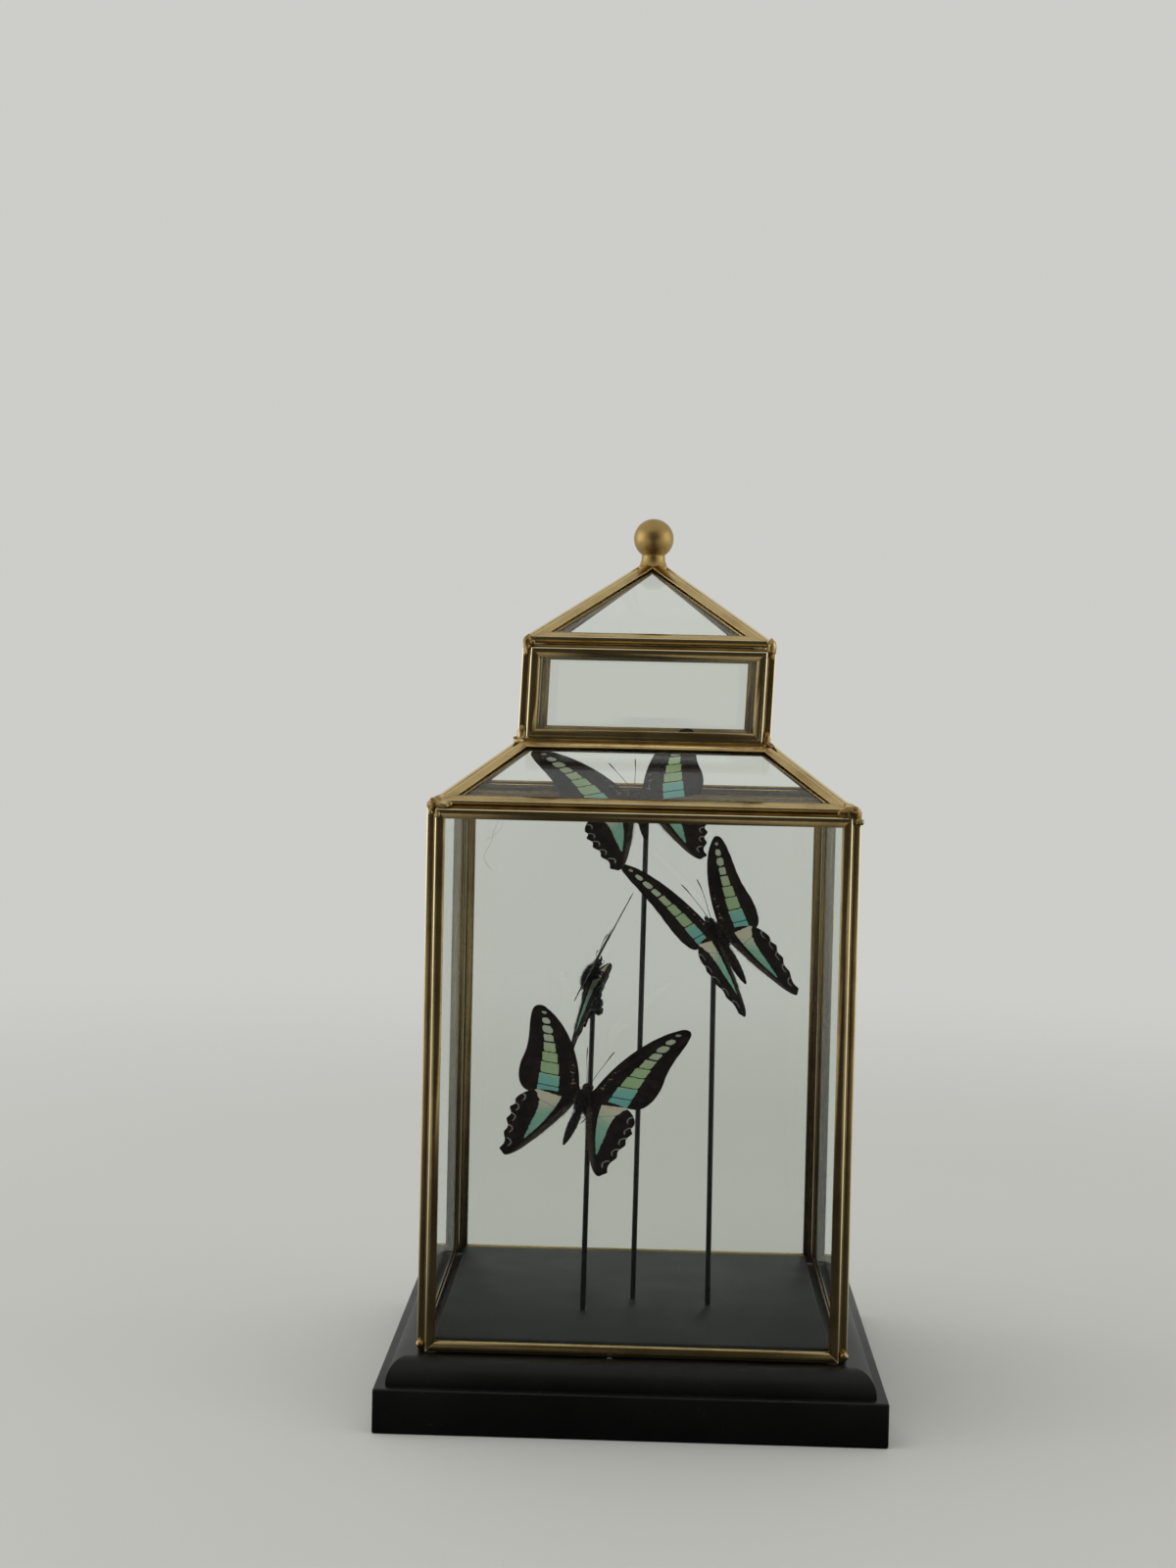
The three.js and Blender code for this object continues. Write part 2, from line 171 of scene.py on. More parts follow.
# Shader wiring
class Wire:
    """An output in a finish's node tree. Arithmetic on it adds Math nodes."""

    def __init__(self, tree, socket=None):
        self.tree = tree
        self.socket = socket

    def node(self, kind, settings=None, inputs=None, output=0):
        """Adds a node, makes its settings, then fills its sockets with values or wires."""
        made = self.tree.nodes.new("ShaderNode" + kind)
        for name, value in (settings or {}).items():
            if name == "stops":
                set_stops(made.color_ramp, value)
            else:
                setattr(made, name, value)
        for name, value in (inputs or {}).items():
            self.fill(made.inputs[name], value)
        return Wire(self.tree, made.outputs[output])

    def fill(self, socket, value):
        """Puts a wire, a value or a colour's code into a socket."""
        if isinstance(value, Wire):
            self.tree.links.new(value.socket, socket)
        else:
            socket.default_value = paint(value) if isinstance(value, str) else value

    def also(self, output):
        return Wire(self.tree, self.socket.node.outputs[output])

    def maths(self, operation, *values):
        return self.node("Math", {"operation": operation}, dict(enumerate(values)))

    def __add__(self, other):
        return self.maths("ADD", self, other)

    def __sub__(self, other):
        return self.maths("SUBTRACT", self, other)

    def __rsub__(self, other):
        return self.maths("SUBTRACT", other, self)

    def __mul__(self, other):
        return self.maths("MULTIPLY", self, other)

    def __truediv__(self, other):
        return self.maths("DIVIDE", self, other)

    def __pow__(self, other):
        return self.maths("POWER", self, other)

    def __abs__(self):
        return self.maths("ABSOLUTE", self)

    __radd__ = __add__
    __rmul__ = __mul__

    def least(self, other):
        return self.maths("MINIMUM", self, other)

    def most(self, other):
        return self.maths("MAXIMUM", self, other)

    def rising(self, low, high):
        """0 below low, 1 above high, smooth between."""
        return self.node("MapRange", {"interpolation_type": "SMOOTHSTEP"}, {0: self, 1: low, 2: high})

    def falling(self, low, high):
        return 1 - self.rising(low, high)

    def mix(self, first, second):
        """The first colour where this is 0 and the second where it is 1."""
        return self.node("Mix", {"data_type": "RGBA"}, {0: self, 6: first, 7: second}, 2)

    def ramp(self, stops):
        return self.node("ValToRGB", {"stops": stops}, {0: self})

    def stretched(self, *scale):
        """This vector with each axis multiplied."""
        return self.node("VectorMath", {"operation": "MULTIPLY"}, {0: self, 1: scale})

    def clouds(self, size, detail=3, roughness=0.55):
        """Noise over this vector with blotches of about that size."""
        return self.node("TexNoise", None, {
            "Vector": self, "Scale": 1 / size, "Detail": detail, "Roughness": roughness,
        })

    def bump(self, depth):
        """A normal from this height from 0 to 1 that stands for that many metres."""
        return self.node("Bump", None, {"Height": self, "Distance": depth})


def set_stops(ramp, stops):
    while len(ramp.elements) < len(stops):
        ramp.elements.new(1)
    for element, (place, colour) in zip(ramp.elements, stops):
        element.position = place
        element.color = paint(colour)


def paint(code):
    """A screen colour such as 8a7440 as a linear one."""
    screen = [int(code[i:i + 2], 16) / 255 for i in (0, 2, 4)]
    linear = [c / 12.92 if c <= 0.04045 else ((c + 0.055) / 1.055) ** 2.4 for c in screen]
    return (*linear, 1)


class Finish(Wire):
    """A material whose nodes are wired from here."""

    def __init__(self, name):
        self.material = bpy.data.materials.new(name)
        self.material.use_nodes = True
        super().__init__(self.material.node_tree)

    def place(self):
        return self.node("TexCoord", output="Object")

    def mask(self, name):
        return self.node("Attribute", {"attribute_name": name}, output="Fac")

    def dress(self, **sockets):
        """Fills the surface shader's sockets, named with underscores, and gives the material."""
        shader = self.tree.nodes["Principled BSDF"]
        for name, value in sockets.items():
            self.fill(shader.inputs[name.replace("_", " ")], value)
        return self.material


# Finishes
def brass_finish():
    """Aged brass channel: drawn streaks, soft brown tarnish, pale worn edges that also paint a highlight
    line, and inner faces darkened as painted shade.
    """
    brass = Finish("aged_brass_channel")
    along = brass.node("UVMap", {"uv_map": "along_bar"})
    streaks = along.stretched(0.012, 1, 0).clouds(0.35, 4, 0.7)
    scratches = along.stretched(0.04, 1, 0).clouds(0.09, 2)
    place = brass.place()
    tarnish = place.clouds(0.016, 5, 0.6)
    stain = tarnish.rising(0.4, 0.75) * 0.6 + streaks.rising(0.42, 0.75) * 0.4
    freckle = place.clouds(0.0011, 2).rising(0.68, 0.76)
    # inner faces get painted shade: their colour is darkened to 3a3020 to stand for the shade inside the
    # case
    inner = brass.mask("inner_face")
    colour = stain.mix("cbb27d", "91774a")
    colour = (freckle * 0.5).mix(colour, "4a3418")
    # worn edges: paler brass, partly real wear and partly a painted highlight along each rounded edge
    colour = (brass.mask("worn_edge") * 0.75).mix(colour, "f6ebc2")
    return brass.dress(
        Base_Color=(inner * 0.5).mix(colour, "3a3020"),
        Metallic=1.0,
        Roughness=0.1 + streaks * 0.1 + tarnish * 0.06 + inner * 0.1,
        Normal=(streaks * 0.7 + scratches * 0.3).bump(0.000016),
    )


def solder_finish():
    """Hand-laid solder, plated with the brass: pale where it stands proud, brown in its hollows."""
    solder = Finish("brassed_solder")
    place = solder.place()
    lumps = place.clouds(0.0034, 3, 0.5)
    grain = place.clouds(0.0003, 3)
    return solder.dress(
        Base_Color=lumps.rising(0.38, 0.68).mix("86683c", "d6c08a"),
        Metallic=1.0,
        Roughness=0.24 + lumps * 0.2,
        Normal=(lumps * 0.8 + grain * 0.15).bump(0.00016),
    )


def seam_finish():
    """Line of solder in the joint between two frames, brown where it has tarnished."""
    seam = Finish("tarnished_seam")
    runs = seam.place().clouds(0.012, 4, 0.5)
    return seam.dress(
        Base_Color=runs.rising(0.3, 0.75).mix("7a6034", "ac8d54"),
        Metallic=1.0,
        Roughness=0.3 + runs * 0.12,
        Normal=runs.bump(0.00005),
    )


def finial_finish():
    """Satin brass ball with fine handling marks."""
    ball = Finish("satin_brass_ball")
    place = ball.place()
    haze = place.clouds(0.004, 4, 0.6)
    marks = place.clouds(0.0006, 3)
    return ball.dress(
        Base_Color=haze.rising(0.3, 0.8).mix("b3985f", "a88c55"),
        Metallic=1.0,
        Roughness=0.36 + haze * 0.06,
        Normal=marks.bump(0.00003),
    )


def paint_finish():
    """Satin black paint on wood: faint roller texture, dust and rubbed spots."""
    black = Finish("black_satin_paint")
    place = black.place()
    texture = place.clouds(0.0012, 3)
    cloud = place.clouds(0.03, 3)
    dust = place.clouds(0.0007, 1).rising(0.74, 0.78) * cloud.rising(0.45, 0.7)
    colour = cloud.rising(0.3, 0.8).mix("050505", "0c0c0b")
    return black.dress(
        Base_Color=(dust * 0.35).mix(colour, "6f6c64"),
        Specular_IOR_Level=0.32,
        Roughness=0.36 + cloud * 0.16 + dust * 0.2,
        Normal=texture.bump(0.00003),
    )


def floor_finish():
    """Matte black panel inside the case, with a little settled dust."""
    panel = Finish("matte_black_panel")
    place = panel.place()
    fibre = place.stretched(1, 0.12, 1).clouds(0.0012, 4, 0.7)
    cloud = place.clouds(0.022, 3)
    dust = place.clouds(0.0009, 1).rising(0.8, 0.83)
    colour = (fibre * 0.5 + cloud * 0.5).mix("262726", "363735")
    return panel.dress(
        Base_Color=(dust * 0.4).mix(colour, "77766e"),
        Roughness=0.5 + cloud * 0.2,
        Normal=fibre.bump(0.00005),
    )


def glass_finish(name, ior):
    """Clear glass with a slight grey-green tint and faint wiping marks."""
    glass = Finish(name)
    wipes = glass.place().stretched(1, 1, 0.35).clouds(0.02, 4, 0.6)
    return glass.dress(
        Base_Color=(0.92, 0.945, 0.915, 1),
        Transmission_Weight=1.0,
        IOR=ior,
        Roughness=wipes.rising(0.6, 0.85) * 0.02,
    )


def rod_finish():
    """Black coated steel rod and the black glue on it."""
    rod = Finish("black_rod_coat")
    place = rod.place()
    coat = place.stretched(1, 1, 0.3).clouds(0.002, 4)
    chips = place.clouds(0.0008, 1).rising(0.76, 0.79)
    return rod.dress(
        Base_Color=(chips * 0.5).mix("0a0b0a", "4a4c46"),
        Specular_IOR_Level=0.6,
        Roughness=0.2 + coat * 0.2,
        Normal=coat.bump(0.00006),
    )


def body_finish():
    """Dark insect body with a paler bloom."""
    body = Finish("dark_chitin")
    place = body.place()
    bloom = place.clouds(0.0014, 4, 0.6)
    grain = place.clouds(0.0003, 2)
    return body.dress(
        Base_Color=bloom.rising(0.4, 0.75).mix("14100d", "2c241e"),
        Specular_IOR_Level=0.2,
        Roughness=0.5 + grain * 0.25,
        Normal=grain.bump(0.00004),
    )


def eye_finish():
    """Dark faceted eye."""
    eye = Finish("insect_eye")
    facets = eye.node("TexVoronoi", None, {"Vector": eye.place(), "Scale": 9000})
    return eye.dress(
        Base_Color=facets.rising(0, 0.7).mix("2a1c15", "120c0a"),
        Roughness=0.25,
        Normal=facets.bump(0.00003),
    )


def hair_finish(name, dark, pale):
    """Fine hair in two tones."""
    hair = Finish(name)
    tone = hair.place().clouds(0.0012, 3)
    return hair.dress(
        Base_Color=tone.rising(0.35, 0.75).mix(dark, pale),
        Specular_IOR_Level=0.15,
        Roughness=0.62,
    )


def lint_finish():
    """Pale lint and a fine dark fibre left on the case."""
    lint = Finish("stray_fibre")
    tone = lint.place().clouds(0.001, 2)
    return lint.dress(Base_Color=tone.mix("4b4a44", "77756c"), Roughness=0.7)


# Wing markings, in the wing's own plane
FORE_CELLS = (
    # height of the cell's middle, half width, half height, corner
    (0.0, 4.05, 2.15, 0.35),
    (4.9, 3.95, 2.4, 0.4),
    (10.05, 3.5, 2.35, 0.4),
    (14.85, 2.95, 2.05, 0.45),
    (19.3, 2.3, 2.0, 0.5),
    (23.5, 1.95, 1.5, 0.8),
    (27.3, 2.0, 1.6, 1.2),
    (31.1, 1.5, 1.3, 1.1),
    (34.7, 0.9, 0.55, 0.5),
)
LUNULES = ((20.6, -6.6), (21.2, -11.6), (20.7, -16.3), (19.9, -21.6), (18.1, -27.2))
RED_SPOTS = ((17.0, -8.6), (17.2, -13.0), (16.6, -17.6), (15.9, -22.2))
SCALE_DEPTH = 0.00004
# shine, roughness and how far the scales roughen it
UPPER_SIDE = (0.08, 0.55, 0.25)
UNDER_SIDE = (0.15, 0.6, 0.2)


def rounded_cell(across, along, half_width, half_height, corner):
    """1 inside a round-cornered cell around the place where both distances are 0."""
    side = (abs(across) - (half_width - corner)).most(0)
    end = (abs(along) - (half_height - corner)).most(0)
    reach = (side * side + end * end) ** 0.5
    return reach.falling(corner - 0.1, corner + 0.1)


def joined(masks):
    """1 where any of the masks is."""
    whole, *others = masks
    for mask in others:
        whole = whole.most(mask)
    return whole


def wing_place(wing):
    """Distances across and along the wing in millimetres, with a slight natural wobble."""
    plane = wing.node("UVMap", {"uv_map": "wing_plane"})
    split = wing.node("SeparateXYZ", None, {0: plane})
    wobble = plane.clouds(1.6, 2)
    x = split + (wobble - 0.5) * 0.7
    y = split.also(1) + (plane.stretched(1.3, 0.7, 1).clouds(1.4, 2) - 0.5) * 0.7
    return plane, x, y


def wing_ground(plane, dark, warm):
    """The scaled ground of the wing: fine scale rows, and a warmer bloom in blotches."""
    scales = plane.stretched(1, 0.6, 1).clouds(0.16, 2, 0.6)
    bloom = plane.clouds(6, 3)
    return scales, (bloom.rising(0.35, 0.75) * 0.7 + scales * 0.3).mix(dark, warm)


def forewing_marks(plane, x, y):
    """The band's mask and colour, and the pale specks at the leading edge's root."""
    middle = 13.65 + y * 0.2 + y * y * 0.0054
    across = x - middle
    slant = y + across * 0.06
    band = joined([
        rounded_cell(across, slant - height, half_width, half_height, corner)
        for height, half_width, half_height, corner in FORE_CELLS
    ])
    faint = y.falling(33.5, 35.5) * 0.45 + 0.55
    colour = ((y + 3) / 40).ramp((
        (0.0, "7fcbc8"), (0.22, "93d3cb"), (0.27, "bad7a6"), (0.5, "c2d9a4"), (0.62, "d6e0c2"),
        (0.95, "e2e5d6"),
    ))
    root_line = abs((x - 5.2) * 0.93 - (y - 5) * 0.37).falling(0.5, 1.3)
    stretch = y.rising(3.5, 5.5) * y.falling(13, 16)
    specks = plane.clouds(1.1, 2).rising(0.56, 0.66) * root_line * stretch
    return band * faint, colour, specks


def hindwing_marks(plane, x, y):
    """The tapering band's mask and colour, and the pale crescents inside the scalloped edge."""
    inner = 7.75 - y * 0.03 + y * y * 0.0095
    step = (y + 9).most(0)
    outer = 14.1 + step * step * 0.08
    jag = plane.stretched(0.3, 1, 1).clouds(1.2, 2) - 0.5
    band = (x - inner).rising(-0.1, 0.15) * (x - outer - jag * 1.2).falling(-0.15, 0.1)
    band = band * y.rising(-23.6, -23.2) * y.falling(-1.6, -1.2)
    seam = abs(y + 6.3 - (x - 11) * 0.2).rising(0.06, 0.16)
    cream = (y - (14.4 - x) * 0.35).rising(-13, -4.5)
    colour = cream.mix("a2d2bd", "eee3cd")
    deep = y.falling(-22, -12)
    colour = (deep * 0.6).mix(colour, "7fb8a6")
    crescents = []
    for middle_x, middle_y in LUNULES:
        dx = x - (middle_x + 1.15)
        dy = y - (middle_y - 0.2)
        ring = abs((dx * dx + dy * dy) ** 0.5 - 1.75).falling(0.12, 0.36)
        crescents.append(ring * (dx * 0.85 - dy * 0.5).falling(-0.9, 0.1))
    return band * (seam * 0.6 + 0.4), colour, joined(crescents)


def dress_wing(wing, colour, scales, shine, roughness, spread):
    return wing.dress(
        Base_Color=colour,
        Specular_IOR_Level=shine,
        Roughness=roughness + scales * spread,
        Normal=scales.bump(SCALE_DEPTH),
    )


def forewing_top_finish():
    wing = Finish("forewing_upper_side")
    plane, x, y = wing_place(wing)
    scales, ground = wing_ground(plane, "15100d", "2b1f19")
    band, colour, specks = forewing_marks(plane, x, y)
    bright = (scales * 0.25).mix(colour, "5f8f7c")
    marked = band.mix(ground, bright)
    return dress_wing(wing, (specks * 0.7).mix(marked, "b3a08e"), scales, *UPPER_SIDE)


def forewing_under_finish():
    wing = Finish("forewing_under_side")
    plane, x, y = wing_place(wing)
    scales, ground = wing_ground(plane, "2b211b", "4a3a30")
    band, colour, _ = forewing_marks(plane, x, y)
    dull = (0.35 + scales * 0.2).mix(colour, "a9c0ae")
    return dress_wing(wing, band.mix(ground, dull), scales, *UNDER_SIDE)


def hindwing_top_finish():
    wing = Finish("hindwing_upper_side")
    plane, x, y = wing_place(wing)
    scales, ground = wing_ground(plane, "15100d", "291d18")
    band, colour, crescents = hindwing_marks(plane, x, y)
    fold = (x - 3.4 + (y + 5) * 0.43).falling(-0.2, 2.2)
    furred = (fold * 0.75).mix(ground, "62564c")
    bright = (scales * 0.2).mix(colour, "5f9a8c")
    marked = band.mix(furred, bright)
    return dress_wing(wing, (crescents * 0.75).mix(marked, "a5a39b"), scales, *UPPER_SIDE)


def hindwing_under_finish():
    wing = Finish("hindwing_under_side")
    plane, x, y = wing_place(wing)
    scales, ground = wing_ground(plane, "2b211b", "4a3a30")
    band, colour, crescents = hindwing_marks(plane, x, y)
    red = joined([rounded_cell(x - spot_x, y - spot_y, 0.9, 0.5, 0.35) for spot_x, spot_y in RED_SPOTS])
    marked = band.mix(ground, colour)
    spotted = (red * 0.85).mix(marked, "8d3a30")
    return dress_wing(wing, (crescents * 0.6).mix(spotted, "a59f92"), scales, *UNDER_SIDE)


# Modelling helpers
def in_scene(name, data):
    holder = bpy.data.objects.new(name, data)
    bpy.context.scene.collection.objects.link(holder)
    return holder


def finished_mesh(name, bm, finishes):
    """A mesh in metres with its finishes."""
    bm.transform(TO_METRES)
    mesh = bpy.data.meshes.new(name)
    bm.to_mesh(mesh)
    bm.free()
    for finish in finishes:
        mesh.materials.append(finish)
    return mesh


def new_piece(name, bm, finishes, replaced=(), smooth=32):
    """A finished piece that rides with the case and stands for the given nodes."""
    mesh = finished_mesh(name, bm, finishes)
    mesh.shade_smooth()
    mesh.set_sharp_from_angle(angle=math.radians(smooth))
    piece = in_scene(name, mesh)
    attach(piece, "root")
    if replaced:
        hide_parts(*replaced)
    return piece


def add_part(whole, part, place=Matrix()):
    """Adds a part's mesh to a whole, at its place."""
    part.transform(place)
    if place.determinant() < 0:
        bmesh.ops.reverse_faces(part, faces=part.faces)
    carrier = bpy.data.meshes.new("carrier")
    part.to_mesh(carrier)
    part.free()
    whole.from_mesh(carrier)
    bpy.data.meshes.remove(carrier)


def all_of(bm):
    return bm.verts[:] + bm.edges[:] + bm.faces[:]


def cut_off(bm, point, outward, fill=True):
    """Cuts away what lies past a plane and closes the cut; gives the closing faces."""
    cut = bmesh.ops.bisect_plane(
        bm, geom=all_of(bm), dist=1e-5, plane_co=point, plane_no=outward, clear_outer=True)
    edges = [e for e in cut["geom_cut"] if isinstance(e, bmesh.types.BMEdge)]
    if not fill or not edges:
        return []
    return bmesh.ops.edgeloop_fill(bm, edges=edges)["faces"]


def bevel(bm, edges, width, segments):
    bmesh.ops.bevel(
        bm, geom=edges, offset=width, offset_type="OFFSET", segments=segments, profile=0.5,
        affect="EDGES", clamp_overlap=True, material=-1)


def box_between(low, high):
    bm = bmesh.new()
    bmesh.ops.create_cube(bm, size=1)
    bmesh.ops.scale(bm, vec=Vector(high) - Vector(low), verts=bm.verts)
    bmesh.ops.translate(bm, vec=(Vector(high) + Vector(low)) / 2, verts=bm.verts)
    return bm


def turned(profile, steps, centre=(0, 0, 0)):
    """A shape turned about +Z from (radius, height) points that start and end on the axis."""
    bm = bmesh.new()
    points = [bm.verts.new((radius, 0, height)) for radius, height in profile]
    edges = [bm.edges.new(pair) for pair in zip(points, points[1:])]
    bmesh.ops.spin(
        bm, geom=points + edges, cent=(0, 0, 0), axis=(0, 0, 1), angle=2 * math.pi, steps=steps,
        use_merge=True)
    bmesh.ops.remove_doubles(bm, verts=bm.verts, dist=1e-4)
    bmesh.ops.recalc_face_normals(bm, faces=bm.faces)
    bmesh.ops.translate(bm, vec=centre, verts=bm.verts)
    return bm


def strand(points, radii, sides=3):
    """A thin round limb along a smooth curve through its points."""
    curve = bpy.data.curves.new("strand", "CURVE")
    curve.dimensions = "3D"
    curve.bevel_depth = 1
    curve.bevel_resolution = sides
    curve.resolution_u = 8
    curve.use_fill_caps = True
    spline = curve.splines.new("BEZIER")
    spline.bezier_points.add(len(points) - 1)
    for knot, point, radius in zip(spline.bezier_points, points, radii):
        knot.co = point
        knot.radius = radius
        knot.handle_left_type = "AUTO"
        knot.handle_right_type = "AUTO"
    holder = bpy.data.objects.new("strand", curve)
    bm = bmesh.new()
    bm.from_mesh(holder.to_mesh())
    bpy.data.objects.remove(holder)
    bpy.data.curves.remove(curve)
    bmesh.ops.remove_doubles(bm, verts=bm.verts, dist=1e-4)
    bmesh.ops.recalc_face_normals(bm, faces=bm.faces)
    return bm


def lump(centre, radii, roughness=0.12, detail=3):
    """A rounded lump with an uneven skin."""
    bm = bmesh.new()
    bmesh.ops.create_icosphere(bm, subdivisions=detail, radius=1)
    for vert in bm.verts:
        swell = 1 + roughness * noise.noise(vert.co * 1.7 + Vector(centre) * 0.37)
        vert.co = Vector(c + r * swell * p for c, r, p in zip(centre, radii, vert.co))
    return bm


def run_together(piece, voxel):
    """Flows a piece's overlapping lumps into one skin."""
    remesh = piece.modifiers.new("run_together", "REMESH")
    remesh.mode = "VOXEL"
    remesh.voxel_size = voxel * MILLIMETRE
    remesh.use_smooth_shade = True
    smooth = piece.modifiers.new("settle", "SMOOTH")
    smooth.factor = 0.5
    smooth.iterations = 8


# Plinth
def make_plinth(finish, panel_finish):
    slab = box_between((-SLAB_HALF, -SLAB_HALF, 0), (SLAB_HALF, SLAB_HALF, SLAB_TOP))
    bevel(slab, slab.edges[:], SLAB_EDGE, 3)
    new_piece("slab_painted", slab, [finish], ["plinth_slab"], 50)

    round_width = BOARD_HALF - BOARD_FLAT_HALF
    round_height = BOARD_TOP - BOARD_FOOT
    profile = [(0, SLAB_TOP), (BOARD_HALF, SLAB_TOP)]
    for step in range(17):
        angle = QUARTER_TURN * step / 16
        profile.append((
            BOARD_FLAT_HALF + round_width * math.cos(angle),
            BOARD_FOOT + round_height * math.sin(angle),
        ))
    profile.append((0, BOARD_TOP))
    mitred = [(width * math.sqrt(2), height) for width, height in profile]
    board = turned(mitred, 4)
    bmesh.ops.rotate(board, matrix=Matrix.Rotation(math.pi / 4, 3, "Z"), verts=board.verts)
    mitres = [e for e in board.edges if is_mitre(e)]
    bevel(board, mitres, MITRE_EDGE, 2)
    new_piece("board_moulded", board, [finish], ["plinth_top_board"], 35)

    panel = box_between((-FLOOR_HALF, -FLOOR_HALF, BOARD_TOP), (FLOOR_HALF, FLOOR_HALF, FLOOR_TOP))
    bevel(panel, panel.edges[:], FLOOR_EDGE, 2)
    new_piece("panel_inside", panel, [panel_finish], ["floor_panel"], 50)


def is_mitre(edge):
    """Whether an edge runs down the corner of the moulded board."""
    first, second = (v.co for v in edge.verts)
    diagonal = all(abs(abs(p.x) - abs(p.y)) < 0.01 for p in (first, second))
    outside = all(abs(p.x) > BOARD_FLAT_HALF - 0.1 for p in (first, second))
    return diagonal and outside and first.x * second.x > 0 and first.y * second.y > 0


# Brass case
def leaning(lean, level):
    """A rack to the right that grows with the height above a level."""
    rack = Matrix()
    rack[0][2] = lean
    rack[0][3] = -lean * level
    return rack


def neck_lean():
    return leaning(NECK_LEAN, (NECK_BOTTOM + NECK_TOP) / 2)


def case_tiers():
    """Each tier's name, foot height, half widths at foot and top, length up the slope, slope and lean."""
    body_foot = BOARD_TOP + FIT_GAP
    run = BODY_HALF - NECK_HALF - CHANNEL_THICKNESS - FIT_GAP
    rise = NECK_BOTTOM - FIT_GAP - BODY_TOP
    slope = math.atan2(rise, run) - math.asin(CHANNEL_THICKNESS / math.hypot(run, rise))
    roof_length = (run + CHANNEL_THICKNESS * math.sin(slope)) / math.cos(slope)
    roof_top_half = BODY_HALF - roof_length * math.cos(slope)
    peak_length = (PEAK_HALF - PEAK_TIP_HALF) / math.cos(PEAK_SLOPE)
    peak_lean = leaning(PEAK_LEAN, PEAK_BOTTOM)
    return (
        ("body", body_foot, BODY_HALF, BODY_HALF, BODY_TOP - body_foot, QUARTER_TURN, Matrix()),
        ("roof", BODY_TOP, BODY_HALF, roof_top_half, roof_length, slope, Matrix()),
        ("neck", NECK_BOTTOM, NECK_HALF, NECK_HALF, NECK_TOP - NECK_BOTTOM, QUARTER_TURN, neck_lean()),
        ("peak", PEAK_BOTTOM, PEAK_HALF, PEAK_TIP_HALF, peak_length, PEAK_SLOPE, peak_lean),
    )


def channel_bar(length, start_lean, end_lean):
    """A mitred U channel along +X, its web at y 0 and its mouth towards +Y, with leaning ends."""
    bm = bmesh.new()
    face, thick, wall = CHANNEL_FACE, CHANNEL_THICKNESS, CHANNEL_WALL
    section = (
        (0, 0), (face, 0), (face, wall), (wall, wall),
        (wall, thick - wall), (face, thick - wall), (face, thick), (0, thick),
    )
    spare = 2 * face
    cap = bm.faces.new([bm.verts.new((-spare, y, z)) for y, z in section])
    swept = bmesh.ops.extrude_face_region(bm, geom=[cap])
    moved = [v for v in swept["geom"] if isinstance(v, bmesh.types.BMVert)]
    bmesh.ops.translate(bm, vec=(length + 2 * spare, 0, 0), verts=moved)
    bmesh.ops.recalc_face_normals(bm, faces=bm.faces)
    runs = [e for e in bm.edges if e.verts[0].co.yz == e.verts[1].co.yz]
    backs = [e for e in runs if e.verts[0].co.y == 0]
    lips = [e for e in runs if e.verts[0].co.y == face]
    bevel(bm, backs, CHANNEL_ROUND, 3)
    bevel(bm, [e for e in lips if e.is_valid], LIP_ROUND, 2)
    for x, lean, outward in ((0, start_lean, -1), (length, end_lean, 1)):
        for end in cut_off(bm, (x, 0, 0), (outward, lean, 0)):
            bevel(bm, end.edges[:], MITRE_SEAM, 1)
    along = bm.loops.layers.uv.new("along_bar")
    shift = random.uniform(0, 900)
    for corner in (loop for side in bm.faces for loop in side.loops):
        place = corner.vert.co
        corner[along].uv = (place.x + shift, place.y + 1.4 * place.z + shift)
    # faces marked for the painted shade inside the channel and for worn edges that also paint a highlight
    inner = bm.faces.layers.float.new("inner_face")
    worn = bm.faces.layers.float.new("worn_edge")
    bm.normal_update()
    for side in bm.faces:
        side[inner] = float(all(v.co.z < CHANNEL_WALL for v in side.verts))
        rounded = min(abs(side.normal.y), abs(side.normal.z)) > 0.2
        side[worn] = float(rounded and all(v.co.y < CHANNEL_ROUND + 0.01 for v in side.verts))
    return bm


def corner_ways(corners):
    """Each corner of an outline with the ways to the one before and the one after it."""
    for before, corner, after in zip(corners[-1:] + corners[:-1], corners, corners[1:] + corners[:1]):
        yield corner, (before - corner).normalized(), (after - corner).normalized()


def frame_bars(corners):
    """The bars of one frame around an outline given anticlockwise in the pane's plane."""
    whole = bmesh.new()
    leans = [1 / math.tan(back.angle(ahead) / 2) for _, back, ahead in corner_ways(corners)]
    for i, corner in enumerate(corners):
        following = (i + 1) % len(corners)
        run = corners[following] - corner
        along = run.normalized()
        bar = channel_bar(run.length, leans[i], leans[following])
        place = Matrix((
            (along.x, -along.y, 0, corner.x),
            (along.y, along.x, 0, corner.y),
            (0, 0, 1, 0),
            (0, 0, 0, 1),
        ))
        add_part(whole, bar, place)
    return whole


def inset(corners, distance):
    """An outline moved inwards all round."""
    moved = []
    for corner, back, ahead in corner_ways(corners):
        inwards = (back + ahead).normalized()
        moved.append(corner + inwards * distance / math.sin(back.angle(ahead) / 2))
    return moved


